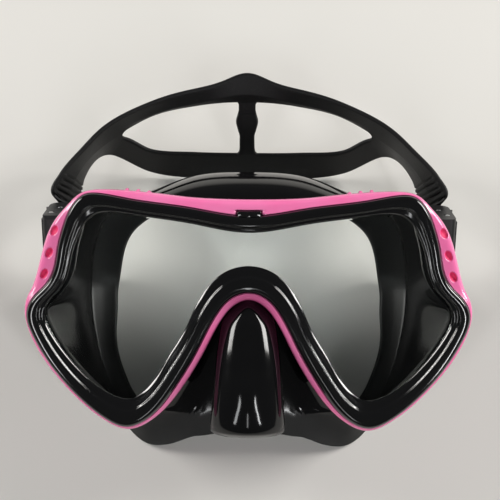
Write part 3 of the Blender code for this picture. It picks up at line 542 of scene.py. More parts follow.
def pane_shell(lines):
    """Four loops from the front face over the ground edge to the back, each end closed flat."""
    loops = np.array([
        lines.level(lines.aperture - GROUND * outward(lines.aperture), PANE_FRONT),
        lines.ring(PANE_INSET, PANE_FRONT + GROUND),
        lines.ring(PANE_INSET, PANE_BACK - GROUND),
        lines.ring(PANE_INSET + GROUND, PANE_BACK),
    ])
    return on_table(loops.reshape(-1, 3)), tube_faces(*loops.shape[:2])


make_piece("lens_pane", *pane_shell(fine), "mask", "lens", "glass", PANE, flat=True)

# %% [markdown]
# ## Bezel
# The bezel is a black ring with two tiers: a broad crown outside and a lower step towards the
# lens. A curve could sweep one profile, but the tiers widen and narrow with the lens opening.
# Light catches each edge of the steps as a thin line, so every corner of the profile gets its
# own small radius. A latch tab sticks up in the middle of the brow.

# %% two tiers and a latch tab
CROWN, SHOULDER, CHAMFER = 1.6, 1.9, (0.8, 0.35)
BEZEL_WALL, BEZEL_BACK = 1.0, 9.0
LIP_BACK, SEAT = 2.9, 4.0
TIERS = [(0.0, 0.0), (0.46, 0.1), (0.56, 1.0), (0.86, 1.3), (1.0, 1.95)]
BEZEL_RADII = [0.2, 0.8, 0.8, 1.0, 0.4, 0.4, 0.35, 0.3, 0.15, 0.15, 0.15, 0.15, 0.15]
BROW = BEZEL[0][1]
LATCH_LOW, LATCH_HIGH, LATCH_ROUND = (-4.4, 0.8, BROW - 0.5), (4.4, 7.5, BROW + 1.9), 0.45


def rounded_block(low, high, radius, steps=4):
    """Box with round edges: a sphere of the radius pulled apart by the size of the core box."""
    low, high = np.array(low, float), np.array(high, float)
    quarter = (np.arange(steps) + 0.5) / steps * math.pi / 2
    turn = np.concatenate([quarter + k * math.pi / 2 for k in range(4)])[None, :]
    lift = np.concatenate([quarter - math.pi / 2, quarter])[:, None]
    parts = np.cos(lift) * np.cos(turn), np.cos(lift) * np.sin(turn), np.sin(lift)
    way = np.stack(np.broadcast_arrays(*parts), axis=2)
    points = (low + high) / 2 + np.sign(way) * ((high - low) / 2 - radius) + radius * way
    return points.reshape(-1, 3), tube_faces(*way.shape[:2])


def bezel_shell(lines):
    """Profile from the outer wall over the crown, the step and the lip, back inside."""
    shoulder = lines.bezel - SHOULDER * lines.out
    inward = lines.aperture - shoulder
    outside = [(0.0, BEZEL_BACK), (0.0, CROWN), CHAMFER]
    inside = [(SEAT, LIP_BACK), (SEAT, CROWN), (BEZEL_WALL, CROWN), (BEZEL_WALL, BEZEL_BACK)]
    loops = [lines.ring(*spot) for spot in outside]
    loops += [lines.level(shoulder + share * inward, depth) for share, depth in TIERS]
    loops += [lines.level(lines.aperture, LIP_BACK)] + [lines.ring(*spot) for spot in inside]
    return ring_shell(rounded_profile(loops, BEZEL_RADII))


latch_points, latch_faces = rounded_block(LATCH_LOW, LATCH_HIGH, LATCH_ROUND)
bezel = join(bezel_shell(fine), (on_table(latch_points), latch_faces))
make_piece("bezel_ring", *bezel, "mask", "bezel", "black_plastic", BLACK)

# %% [markdown]
# ## Frame
# The pink frame shows as a band over the brow, an ear on each side and a thin line below. Its
# front falls away from the bezel in a soft curve. Three hollows are pressed into each ear and
# three ribs stand on each half of the top edge. Booleans could cut them, but displacements of
# one grid keep their edges soft, and the grid is closer there. Behind each ear a lug carries
# the pin of the buckle.

# %% crowned front with hollows and ribs
EAR_HOLLOWS = [(73.4, 29.8), (75.3, 21.4), (77.2, 13.4)]
HOLLOW_SIZE = (1.55, 2.0)
HOLLOW_DEPTH, HOLLOW_LEAN = 1.3, 0.28
HOLLOW_BOWL, HOLLOW_PAINT = 0.6, 1.6
TOP_RIBS = [38.0, 42.2, 46.4]
RIB_HALF, RIB_RAMP, RIB_HEIGHT = 0.75, 0.35, 0.8
RIB_FRONT, RIB_BACK, RIB_EASE = 6.3, 10.2, 0.7
FRAME_GAP = 0.3
FRONT_DEPTH, FRONT_FALL, FRONT_ROLL = 2.6, 1.2, 2.2
FRONT_SPREAD, ROLL_POWER = 0.85, 7
WALL_FRONT, WALL_BACK, FRAME_BACK = 6.0, 11.8, 13.0
BACK_ROUND = [(0.15, 0.4), (0.6, 0.0)]
FLANGE, FLANGE_FRONT = 3.4, 9.3
NOTCH_HALF, NOTCH_ABOVE, NOTCH_DEPTH = 4.7, 2.2, 7.8
UPPER_HALF = 20.0


def smooth_step(value):
    """Cubic step from 0 at zero to 1 at one."""
    value = np.clip(value, 0, 1)
    return value * value * (3 - 2 * value)


def frame_front(lines, rows=26):
    """Front of the frame: straight out from the bezel, with a depth that grows as a power."""
    share = np.linspace(0, 1, rows)[:, None, None] ** FRONT_SPREAD
    inner = lines.bezel + FRAME_GAP * lines.out
    flat = inner + share * (lines.frame - inner)
    depth = FRONT_DEPTH + FRONT_FALL * share[..., 0] + FRONT_ROLL * share[..., 0] ** ROLL_POWER
    points = np.stack([flat[..., 0], np.broadcast_to(depth, flat.shape[:2]), flat[..., 1]], axis=2)
    hollow = np.zeros(flat.shape[:2])
    for across, up in EAR_HOLLOWS:
        lean = np.abs(flat[..., 0]) - across + HOLLOW_LEAN * (flat[..., 1] - up)
        apart = (lean / HOLLOW_SIZE[0]) ** 2 + ((flat[..., 1] - up) / HOLLOW_SIZE[1]) ** 2
        hollow = np.maximum(hollow, np.clip(1 - apart, 0, 1) ** HOLLOW_BOWL)
    points[..., 1] += HOLLOW_DEPTH * hollow
    notch = (flat[..., 1] > UPPER_HALF) & (flat[..., 1] < BROW + NOTCH_ABOVE)
    notch = notch & (np.abs(flat[..., 0]) < NOTCH_HALF)
    points[..., 1] = np.where(notch, NOTCH_DEPTH, points[..., 1])
    return points, np.clip(hollow * HOLLOW_PAINT, 0, 1)


def frame_wall(lines, rows=14):
    """Outer wall of the frame, pushed out along its normal where a rib stands."""
    depth = np.linspace(WALL_FRONT, WALL_BACK, rows)[:, None]
    away = outward(lines.frame)
    push = np.zeros((rows, len(away)))
    for across in TOP_RIBS:
        beside = smooth_step((RIB_HALF - np.abs(np.abs(lines.frame[:, 0]) - across)) / RIB_RAMP)
        along = smooth_step((depth - RIB_FRONT) / RIB_EASE) * smooth_step((RIB_BACK - depth) / RIB_EASE)
        push = np.maximum(push, RIB_HEIGHT * beside * along * (lines.frame[:, 1] > UPPER_HALF))
    flat = lines.frame[None] + push[..., None] * away[None]
    return np.stack([flat[..., 0], np.broadcast_to(depth, push.shape), flat[..., 1]], axis=2)


def frame_back(lines):
    """Back edge and inner flange of the frame, with rounded corners."""
    away = outward(lines.frame)
    edge = [lines.level(lines.frame - inset * away, FRAME_BACK - rise) for inset, rise in BACK_ROUND]
    flange = [(FLANGE, FRAME_BACK), (FLANGE, FLANGE_FRONT), (-FRAME_GAP, FLANGE_FRONT)]
    return np.array(edge + [lines.ring(*spot) for spot in flange])


close = Outlines(places(1100, [(1, 3, 2.6), (5, 9, 2.2), (17, 22, 1.4)]))
front, hollow = frame_front(close)
frame_loops = np.concatenate([front, frame_wall(close), frame_back(close)])
print("frame loops", len(frame_loops), "hollows in each ear", len(EAR_HOLLOWS))

# %% lugs and stop pegs behind the ears
BUCKLE_TURN = math.radians(14.0)
PIN_PLACE = np.array((0.0, 26.0, 18.5))
LUG_FACES, LUG_POINTS = (72.2, 74.6), 96
LUG_RADIUS, LUG_REACH, LUG_BORE = 7.5, 14.8, 2.3
LUG_RADII = [0.5, 0.5, 0.25, 0.25]
PEG_LOW, PEG_HIGH, PEG_ROUND = (73.4, 1.5, -7.0), (77.7, 3.6, -5.5), 0.3


def lug_shell(side):
    """Plate with a round back end and a bore: four loops in the plane across the face."""
    angle = np.arange(LUG_POINTS) * 2 * math.pi / LUG_POINTS
    circle = np.stack([0 * angle, np.cos(angle), np.sin(angle)], axis=1)
    edge, bore = LUG_RADIUS * circle, LUG_BORE * circle
    edge[:, 1] = np.where(circle[:, 1] < 0, LUG_REACH * circle[:, 1], edge[:, 1])
    levels = zip(LUG_FACES + LUG_FACES[::-1], (edge, edge, bore, bore))
    loops = [PIN_PLACE + loop + (side * level, 0.0, 0.0) for level, loop in levels]
    return ring_shell(rounded_profile(loops, LUG_RADII))


def peg_shell(side):
    """Stop peg of the buckle arm: a rounded block turned with the buckle."""
    points, faces = rounded_block(PEG_LOW, PEG_HIGH, PEG_ROUND)
    cos, sin = math.cos(BUCKLE_TURN), math.sin(BUCKLE_TURN)
    points[:, 1:] = points[:, 1:] @ np.array([(cos, sin), (-sin, cos)])
    return on_table((points + PIN_PLACE) * (side, 1.0, 1.0)), faces


behind = [lug_shell(1), lug_shell(-1), peg_shell(1), peg_shell(-1)]
pink = join(ring_shell(frame_loops), *behind)
marks = np.zeros(len(pink[0]))
marks[: hollow.size] = hollow.ravel()
make_piece("pink_frame", *pink, "mask", "frame", "pink_plastic", PINK, {"hollow": marks})

# %% [markdown]
# ## Skirt
# The skirt is one moulding of silicone. A bead grips the lens, a wall runs back to the rim that
# meets the face, and a thin seal turns inwards. Over the brow it domes outwards first, below
# the nose it runs backwards first. The nose pocket is pressed forwards out of the same wall.
# It could be sculpted, but as a formula both sides match and the wall keeps its thickness.

# %% wall from the frame to the seal
POCKET = np.array([
    (-51, 60, 14), (-50.1, 22, 14), (-49, 9, 14.1), (-47.4, -3, 14.2), (-44, -8.2, 14.2),
    (-38, -8.6, 13.9), (-30, -8, 13.2), (-20, -5.4, 12.4), (-12, -2.8, 11.5), (-5, -0.4, 10.1),
    (-2, 0.9, 8.3), (0.5, 2.3, 6.1), (2.2, 4.4, 4), (3.2, 9, 2.8), (4.5, 60, 2),
])
POCKET_HEIGHT, POCKET_RIDGE, POCKET_HALF = POCKET.T
POCKET_LEAST, POCKET_BLEND = 0.3, 8.0
POCKET_NOSE = 11.0
POCKET_ARC = 0.6 * math.pi * POCKET_NOSE
SAG, SAG_AT = 5.2, 14.0


def span_curve(t, size, ends, slopes):
    """Cubic over one span of a curve, from its two ends and the slopes there."""
    rise = (2 * t**3 - 3 * t**2 + 1) * ends[0] + (3 * t**2 - 2 * t**3) * ends[1]
    return rise + size * ((t**3 - 2 * t**2 + t) * slopes[0] + (t**3 - t**2) * slopes[1])


def eased(at, spots, values):
    """Curve through spots that never overshoots: slopes are harmonic means of the chords."""
    size = np.diff(spots)
    chord = np.diff(values) / size
    product = chord[:-1] * chord[1:]
    total = np.where(product > 0, chord[:-1] + chord[1:], 1.0)
    slope = np.concatenate([chord[:1], np.where(product > 0, 2 * product / total, 0.0), chord[-1:]])
    i = np.clip(np.searchsorted(spots, at) - 1, 0, len(spots) - 2)
    t = np.clip((at - spots[i]) / size[i], 0, 1)
    return span_curve(t, size[i], (values[i], values[i + 1]), (slope[i], slope[i + 1]))


def pocket_sag(x):
    """How much higher the sole of the pocket stands at its sides: a cube of the distance."""
    return SAG * np.abs(x / SAG_AT) ** 3


def press_pocket(points, wall):
    """Points at the nose moved forwards onto a tube: a half ellipse on straight walls."""
    x, y, z = points[..., 0], points[..., 1], points[..., 2]
    height = z - pocket_sag(x)
    ridge = eased(height, POCKET_HEIGHT, POCKET_RIDGE)
    if wall > 0:
        ridge = np.maximum(ridge + wall, eased(height - wall, POCKET_HEIGHT, POCKET_RIDGE))
        ridge = np.maximum(ridge, eased(height + wall, POCKET_HEIGHT, POCKET_RIDGE))
    half = np.maximum(eased(z, POCKET_HEIGHT, POCKET_HALF) - wall, POCKET_LEAST)
    reach = np.clip(y - ridge, 0, None)
    front = np.minimum(reach, POCKET_NOSE)
    bend = POCKET_ARC / (POCKET_ARC + reach - front)
    out = np.abs(x) / half
    angle = np.clip(out / bend, 0, 1) * math.pi / 2
    down = np.clip((out - bend) / np.maximum(1 - bend, 1e-6), 0, 1)
    forward = (reach - front * (1 - np.cos(angle))) * (1 - down)
    spread = np.sign(x) * half * np.sin(angle)
    inside = out < 1
    weight = smooth_step(reach / POCKET_BLEND) * inside
    return np.stack([x + (spread - x) * weight, y - np.where(inside, forward, 0), z], axis=2)


CREASE = -46.4
BEAD_HEIGHT, BEAD_WIDTH = 0.35, 1.1
BEAD_START, BEAD_GROWS, BEAD_END, BEAD_FADES = 17.0, 5.0, 46.0, 8.0
NECK, SKIRT_WALL, SEAL_WALL, SEAL_STEPS = (3.7, 14.4), 2.2, (2.1, 1.2), 10
SEAL_ARC = np.array((0.0, 1.4, 0.0))
STEP_RUNS = [(0, 0.25, 6), (0.25, 0.4, 16), (0.4, 0.82, 44), (0.82, 0.9, 4), (0.9, 0.958, 15), (0.958, 1, 6)]
STEPS = np.unique(np.concatenate([np.linspace(*run) for run in STEP_RUNS]))


def skirt_walls(lines):
    """Outer and inner wall: neck to rim by two quarter waves, then a low arc to the seal."""
    neck = lines.ring(*NECK)
    rim = closed_spline(both_halves(RIM), lines.at)
    seal = closed_spline(both_halves(SEAL), lines.at)
    flare = both_halves([(0.0, k) for k in FLARE])[:, 1:]
    flare = np.clip(closed_spline(flare, lines.at)[:, 0], -1, 1)[None]
    step = STEPS[:, None]
    fast = np.sin(step * math.pi / 2)
    slow = 1 - np.cos(step * math.pi / 2)
    dome, back = np.clip(flare, 0, 1), np.clip(-flare, 0, 1)
    level = (1 - dome - back) * step
    spread = level + dome * fast + back * slow
    depth = level + dome * slow + back * fast
    wall = neck + (rim - neck) * np.stack([spread, depth, spread], axis=2)
    share = np.linspace(0, 1, SEAL_STEPS + 1)[1:, None, None]
    turned = rim + share * (seal - rim) + 4 * share * (1 - share) * SEAL_ARC
    outer = np.concatenate([wall, turned])
    middle = slice(len(STEPS) - 4, len(STEPS) + 4)
    for _ in range(3):
        calm = (np.roll(outer, 1, axis=0) + 2 * outer + np.roll(outer, -1, axis=0)) / 4
        outer[middle] = calm[middle]
    down = np.gradient(outer, axis=0)
    around = np.roll(outer, -1, axis=1) - np.roll(outer, 1, axis=1)
    normal = unit(np.cross(around, down))
    thick = np.full((len(outer), 1, 1), SKIRT_WALL)
    thick[len(STEPS):, 0, 0] = np.linspace(*SEAL_WALL, SEAL_STEPS)
    inner = outer - thick * normal
    beside = np.abs(wall[..., 0])
    bead = smooth_step((beside - BEAD_START) / BEAD_GROWS) * smooth_step((BEAD_END - beside) / BEAD_FADES)
    bead = BEAD_HEIGHT * bead * np.exp(-((wall[..., 2] - CREASE) / BEAD_WIDTH) ** 2)
    outer[: len(STEPS)] += bead[..., None] * normal[: len(STEPS)]
    return press_pocket(outer, 0.0), press_pocket(inner, SKIRT_WALL)


print("skirt loops on each wall", len(STEPS) + SEAL_STEPS)

# %% bead, walls and how dull each point is
LIP = [(3.7, 1.9), (1.3, 1.9), (1.3, 9.0), (3.7, 9.0)]
GROOVE = [(5.9, 14.4), (5.9, 7.5), (2.5, 7.5), (2.5, 2.9), (3.7, 2.9)]
SEAL_DULL, INSIDE_DULL, FOOT_DULL = 0.85, 0.8, 0.6
FOOT, FOOT_HALF, FOOT_BACK = -47.3, 14.6, 25.0
CHEEK_DROP, CHEEK_SIDE, CHEEK_FADE = 0.5, 13.8, 2.0
DULL_EDGE, SEAL_TIP = 0.8, 0.8


def skirt_shell(lines):
    """One closed ring: lip and bead, outer wall, seal edge, inner wall and groove of the lens."""
    outer, inner = skirt_walls(lines)
    head = [lines.ring(*spot) for spot in LIP]
    tail = [lines.ring(*spot) for spot in GROOVE]
    tip = (outer[-1] + inner[-1]) / 2 + (outer[-1] - outer[-2]) * SEAL_TIP
    loops = np.concatenate([head, outer, [tip], inner[:0:-1], tail])
    beside, height = np.abs(outer[..., 0]), outer[..., 2]
    cheek = smooth_step((CREASE - CHEEK_DROP - height) / DULL_EDGE)
    cheek = cheek * smooth_step((beside - CHEEK_SIDE) / CHEEK_FADE)
    sole = smooth_step((FOOT - height + pocket_sag(beside)) / DULL_EDGE)
    foot = FOOT_DULL * sole * (beside < FOOT_HALF) * (outer[..., 1] < FOOT_BACK)
    seal = smooth_step((np.arange(len(outer)) - len(STEPS) + 1.0) / 2)[:, None] + 0 * cheek
    first, last = len(head), len(head) + len(outer)
    dull = np.zeros(loops.shape[:2])
    dull[first:last] = np.maximum(np.maximum(cheek, foot), SEAL_DULL * seal)
    dull[last] = SEAL_DULL
    dull[last + 1:last + len(inner)] = INSIDE_DULL * seal[:0:-1]
    points = on_table(loops.reshape(-1, 3))
    points[:, 2] = np.maximum(points[:, 2], 0.0)
    rows, columns = loops.shape[:2]
    return points, grid_quads(rows, columns, True, True), dull.ravel()


soft = Outlines(places(480, [(17, 22, 2.4)]))
skirt_points, skirt_faces, dull = skirt_shell(soft)
make_piece(
    "silicone_skirt", skirt_points, skirt_faces, "mask", "skirt", "skirt_silicone", SKIN, {"dull": dull}
)

# %% [markdown]
# ## Strap
# The strap leaves each buckle ribbed, leans outwards, and splits behind the head into two
# bands joined by a short bridge. A curve with a flat profile can't split, so it is a sheet
# between four edge curves: lower edge, two edges of the split and upper edge. Its thickness
# fades to nothing at every edge along a quarter ellipse, so all edges come out round. The ribs
# are what is left between grooves.

# %% edge curves of the strap, across, back from the pivot and up, in millimetres
STRAP_LOWER = [
    (75.5, 29.2, 25), (75, 41.2, 25.5), (74.6, 53.8, 22.5), (63.7, 70.8, 14.5),
    (46.4, 68.2, 3.5), (25, 65.4, 2), (0, 64.9, 1.8),
]
STRAP_SPLIT_LOWER = [(56.6, 72.8, 30), (43.8, 71.1, 20), (24, 70.7, 17.2), (0, 70.6, 16.5)]
STRAP_SPLIT_UPPER = [(56.6, 72.8, 30), (42.5, 79.6, 34.2), (22.5, 84.7, 34.9), (0, 86.5, 35)]
STRAP_UPPER = [
    (84, 35.7, 43), (80.6, 43.5, 45.2), (72, 54.8, 45.8), (57.5, 69.9, 46.5),
    (40.2, 80.5, 45.5), (20.5, 88.2, 44), (0, 92.2, 42.5),
]
HUMP = np.array((0.0, 3.4, 2.5))
HUMP_HALF = 10.2
TIP_ROUND = 2.6
TIP_FADE = 14.0
TIP_BITES = (1.6, 0.9)
SIDEWAYS, SIDEWAYS_FROM, SIDEWAYS_OVER = 1.4, 20.0, 45.0
ROLLER_X, ROLLER_U, WRAP = 79.4, 26.5, 3.5
TAIL_END, TAIL_START, TAIL_POINTS = 48.5, 28.0, 6
LEAD_RUN = [28.5, 31.0, 33.5, 37.5]
BUCKLE_ALONG = MASK_AXES[1] * math.cos(BUCKLE_TURN) + MASK_AXES[2] * math.sin(BUCKLE_TURN)
BUCKLE_ACROSS = MASK_AXES[2] * math.cos(BUCKLE_TURN) - MASK_AXES[1] * math.sin(BUCKLE_TURN)
HALF_WIDTH = 10.0
THICK = 2.0
BRIDGE_HALF = 4.5


def wrapped_edges():
    """Tail, turn round the roller and lead out of the buckle: lower and upper edge, in mm."""
    turn = np.linspace(0, math.pi, 17)
    tail = np.linspace(TAIL_END, TAIL_START, TAIL_POINTS)
    ends = [ROLLER_X + WRAP] * TAIL_POINTS, [ROLLER_X - WRAP] * len(LEAD_RUN)
    x = np.concatenate([ends[0], ROLLER_X + WRAP * np.cos(turn), ends[1]])
    u = np.concatenate([tail, ROLLER_U - WRAP * np.sin(turn), LEAD_RUN])
    middle = u[:, None] * BUCKLE_ALONG + SWIVEL / MM
    middle[:, 0] = x
    return middle - HALF_WIDTH * BUCKLE_ACROSS, middle + HALF_WIDTH * BUCKLE_ACROSS


def strap_edges():
    """Four edge curves from the tail to the middle of the back, and where the split starts."""
    shift = np.array((0.0, SWIVEL[1] / MM, 0.0))
    wrap_low, wrap_high = wrapped_edges()
    low = np.concatenate([wrap_low, np.array(STRAP_LOWER) + shift])
    high = np.concatenate([wrap_high, np.array(STRAP_UPPER) + shift])
    before = (low + high)[:-4] / 2
    split_low = np.concatenate([before, np.array(STRAP_SPLIT_LOWER) + shift])
    split_high = np.concatenate([before, np.array(STRAP_SPLIT_UPPER) + shift])
    return np.array([low, split_low, split_high, high]), len(low) - 4, len(wrap_low) - 1


edges, tip_index, lead_index = strap_edges()
spine = edges.mean(axis=0)
strap_knots = np.concatenate([[0.0], np.cumsum(np.linalg.norm(np.diff(spine, axis=0), axis=1))])
TIP = round(float(strap_knots[tip_index]), 3)
LEAD = strap_knots[lead_index]
print("strap half is", round(float(strap_knots[-1]), 1), "mm long, split at", round(TIP, 1))


# %% the strap as a sheet
def run_through(points, at):
    """Cubic through points: slopes are central differences, level across the middle plane."""
    step = np.diff(strap_knots)[:, None]
    chord = np.diff(points, axis=0) / step
    inside = (chord[:-1] * step[1:] + chord[1:] * step[:-1]) / (step[:-1] + step[1:])
    last = chord[-1:] * (1.0, 0.0, 0.0)
    slope = np.concatenate([chord[:1], inside, last])
    i = np.clip(np.searchsorted(strap_knots, at, side="right") - 1, 0, len(points) - 2)
    t = ((at - strap_knots[i]) / step[i, 0])[:, None]
    return span_curve(t, step[i], (points[i], points[i + 1]), (slope[i], slope[i + 1]))


RIB_PITCH = 2.7
RIBS_END = LEAD + 27.0
RIB_SKEW, SKEW_IN, SKEW_END, SKEW_OUT = 6.0, 14.0, 52.0, 24.0
FIRST_GROOVE = 2.5
RIB_FLANK = 0.25
GROOVE_WIDTH = 1.3
groove_starts = np.arange(FIRST_GROOVE, RIBS_END, RIB_PITCH)
groove_shape = np.array((0.0, RIB_FLANK, GROOVE_WIDTH - RIB_FLANK, GROOVE_WIDTH))
back_run = np.linspace(TIP, strap_knots[-1], 400)
bridge_place = np.interp(-BRIDGE_HALF, -run_through(spine, back_run)[:, 0], back_run)
close_by = np.array((0.0, 0.05, 0.12, 0.25, 0.45, 0.7, 1.0, 1.4, 2.0))
stations = np.concatenate([
    (groove_starts[:, None] + groove_shape).ravel(),
    close_by, TIP - close_by, TIP + close_by, bridge_place - close_by, bridge_place + close_by,
    np.linspace(0, strap_knots[-1], 150),
])
stations = np.unique(np.round(stations, 3))
stations = stations[np.concatenate([[True], np.diff(stations) > 0.02])]
stations[-1] = strap_knots[-1]


skew = smooth_step((stations - LEAD) / SKEW_IN) * smooth_step((LEAD + SKEW_END - stations) / SKEW_OUT)
low, split_low, split_high, high = [
    run_through(edge, stations - share * RIB_SKEW * skew) for edge, share in zip(edges, (0.0, 0.5, 0.5, 1.0))
]
high = high + HUMP * np.exp(-((high[:, :1] / HUMP_HALF) ** 2))
split_low = np.where((stations <= TIP)[:, None], (split_low + split_high) / 2, split_low)
split_high = np.where((stations <= TIP)[:, None], split_low, split_high)
past_tip = np.clip(stations - TIP, 0, None)[:, None]
turned = 1 - np.clip(past_tip / TIP_ROUND, 0, 1)
opening = TIP_ROUND * np.sqrt(1 - turned**2) * np.exp(-past_tip / TIP_FADE) * unit(high - low)
split_low, split_high = split_low - TIP_BITES[0] * opening, split_high + TIP_BITES[1] * opening
print("stations along the strap", len(stations), "ribs on each end", len(groove_starts))

# %% thickness, grooves and the closed strap
ACROSS = np.array(
    (0.0, 0.005, 0.02, 0.05, 0.09, 0.18, 0.26, 0.3, 0.34, 0.5, 0.65, 0.8, 0.91, 0.95, 0.98, 0.995, 1.0)
)
ROUND = 0.8
GROOVE_DEPTH = 0.7
MARGIN, MARGIN_EDGE = 2.2, 0.3
LEAST_SHARE = 0.25
FOLD, FOLD_HEIGHT, FOLD_FADE = 0.3, 1.2, 15.0


def strip(first, second, shares):
    """Sheet between two edge curves: shares of the way from the first to the second."""
    return first[:, None] + shares[None, :, None] * (second - first)[:, None]


def sheet_normals(sheet):
    """Unit normals by the cross product of the two central differences of the grid."""
    normal = np.cross(np.gradient(sheet, stations, axis=0), np.gradient(sheet, axis=1))
    normal[-1, :, 0] = 0.0
    return unit(normal)


bridge_rows = stations >= bridge_place - 1e-3
bridge_start = int(np.argmax(bridge_rows))
lower, upper = strip(low, split_low, ACROSS), strip(split_high, high, ACROSS)
normal_low, normal_up = sheet_normals(lower), sheet_normals(upper)
shared = unit(normal_low[:, -1] + normal_up[:, 0])
joined = ((stations <= TIP + 1e-6) | bridge_rows)[:, None]
normal_low[:, -1] = np.where(joined, shared, normal_low[:, -1])
normal_up[:, 0] = np.where(joined, shared, normal_up[:, 0])


def edge_gap(sheet, outer_edge, inner_edge):
    """Distance of each point from the nearest edge: outer edge, split, its tip or the tail."""
    to_outer = np.linalg.norm(sheet - outer_edge[:, None], axis=2)
    to_split = np.linalg.norm(sheet - inner_edge[:, None], axis=2)
    before = np.clip(TIP - stations, 0, None)[:, None]
    inside_bridge = np.clip(inner_edge[bridge_start, 0] - inner_edge[:, :1], 0, None)
    to_split = np.hypot(to_split, before + inside_bridge)
    return np.minimum(np.minimum(to_outer, to_split), stations[:, None])


def half_thickness(gap):
    """Quarter ellipse from nothing at an edge to the full half thickness inside."""
    return THICK / 2 * np.sqrt(np.clip(1 - (1 - np.clip(gap / ROUND, 0, 1)) ** 2, 0, 1))


def groove_depth(sheet):
    """Trapezoid grooves across the strap, closed by a smooth margin along the upper edge."""
    after = stations[:, None] - groove_starts[None, :]
    shape = np.clip(np.minimum(after, GROOVE_WIDTH - after) / RIB_FLANK, 0, 1).max(axis=1)
    to_top = np.linalg.norm(sheet - high[:, None], axis=2)
    return GROOVE_DEPTH * shape[:, None] * np.clip((to_top - MARGIN) / MARGIN_EDGE, 0, 1)


def both_faces(sheet, normal, gap):
    """Inner and outer face of a strip, the inner one cut by the grooves."""
    half = half_thickness(gap)
    inner = np.clip(half - groove_depth(sheet), LEAST_SHARE * half, None)
    return sheet + normal * half[..., None], sheet - normal * inner[..., None]


fold = np.minimum(ACROSS / FOLD, (1 - ACROSS) / (1 - FOLD))[None, :] * smooth_step(past_tip / FOLD_FADE)
folded = upper - normal_up * (FOLD_HEIGHT * fold)[..., None]
print("points of each band", lower.shape[:2], "rows of the bridge", int(bridge_rows.sum()))

# %% the bridge with its thumb tab
BRIDGE_SPOTS = np.array((0.0, 0.04, 0.12, 0.34, 0.48, 0.64, 0.78, 0.86, 0.96, 1.0))
BRIDGE_WIDTHS = np.array((1.0, 0.82, 0.745, 0.745, 0.95, 1.13, 0.96, 0.87, 0.88, 1.0))
TAB_EDGE, TAB_STEP, TAB_HEIGHT = 0.81, 0.02, 0.6
TAB_START, TAB_RISE = 0.28, 0.25
BRIDGE_ACROSS = np.concatenate([
    0.5 - 0.5 * np.cos(np.linspace(0, math.pi, 33)), TAB_EDGE + np.array((-0.02, -0.015, -0.005, 0.0)),
])
BRIDGE_ACROSS = np.unique(np.round(BRIDGE_ACROSS, 4))
bridge = strip(split_low[bridge_rows], split_high[bridge_rows], BRIDGE_ACROSS)
bridge[..., 0] *= eased(BRIDGE_ACROSS, BRIDGE_SPOTS, BRIDGE_WIDTHS)
bridge_gap = np.clip(bridge[:1, :, 0] - bridge[..., 0], 0, None)
mix = BRIDGE_ACROSS[None, :, None]
bridge_normal = unit(normal_low[bridge_rows][:, -1:] * (1 - mix) + normal_up[bridge_rows][:, :1] * mix)
bridge_half = half_thickness(bridge_gap)[..., None]
tab = smooth_step((TAB_EDGE - mix) / TAB_STEP) * smooth_step((mix - TAB_START) / TAB_RISE)
tab = tab * smooth_step(bridge_gap / ROUND)[..., None]

sides = [
    *both_faces(lower, normal_low, edge_gap(lower, low, split_low)),
    *both_faces(folded, normal_up, edge_gap(upper, high, split_high)),
    bridge + bridge_normal * bridge_half,
    bridge - bridge_normal * (bridge_half + TAB_HEIGHT * tab),
]
shells = []
for grid in sides:
    for side in (1.0, -1.0):
        points = (grid * (side, 1.0, 1.0)).reshape(-1, 3)
        points[:, 0] -= SIDEWAYS * smooth_step((points[:, 1] - SIDEWAYS_FROM) / SIDEWAYS_OVER)
        shells.append((points * MM, grid_quads(*grid.shape[:2])))
make_piece("silicone_strap", *join(*shells), "strap_assembly", "strap", "strap_silicone", BAND)

# %% [markdown]
# ## Buckles
# Behind each ear sit a pin, a washer, the buckle, its roller, two axles, a spring and the
# release lever. Their imported shapes are right, but moulded and turned parts have no knife
# edges. A merged copy of each gets a small bevel, so that every edge catches a line of light.
# The spring is different: one of its legs leans on the lever, and its copy keeps its packed shape without a
# bevel.

# %% bevelled copies of the small parts
OUTER_FACE, BEHIND_EAR, INSIDE_BUCKLE = 80.0, 74.0, 9.0
SHARP, PARALLEL, NEAR = 1.0, 0.999, 0.3
BUCKLE_CORNERS = [(BUCKLE_ACROSS, 33.5, 4.0), (BUCKLE_ACROSS, 12.0, 2.0), (MASK_AXES[0], 12.0, 3.0)]
LEVER_CORNERS = [(MASK_AXES[0], 37.5, 4.0), (MASK_AXES[0], 17.6, 2.0)]
SPRING_LEG = (17.6, 15.6)


def round_corners(work, along, reach, radius):
    """Round the sharp edges along a direction that lie at one distance from the pivot."""
    picked = []
    for edge in work.edges:
        ends = np.array([vert.co for vert in edge.verts])
        way, middle = ends[1] - ends[0], ends.mean(axis=0) / MM
        straight = abs(way @ along) > PARALLEL * np.linalg.norm(way)
        arm, beside = middle - SWIVEL / MM, abs(middle[0])
        far = abs(arm @ BUCKLE_ALONG - reach) < NEAR and beside > BEHIND_EAR
        outside = abs(arm @ BUCKLE_ACROSS) > INSIDE_BUCKLE or beside > OUTER_FACE
        if straight and far and outside and edge.calc_face_angle(0.0) > SHARP:
            picked.append(edge)
    bmesh.ops.bevel(
        work, geom=picked, offset=radius * MM, segments=6, profile=0.5, affect="EDGES", clamp_overlap=True
    )
    return len(picked)


def copy_part(node, finish):
    """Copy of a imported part, with one finish."""
    mesh = frame["nodes"][node].data.copy()
    mesh.materials.clear()
    mesh.materials.append(finish)
    return add_object(node + "_finished", mesh)


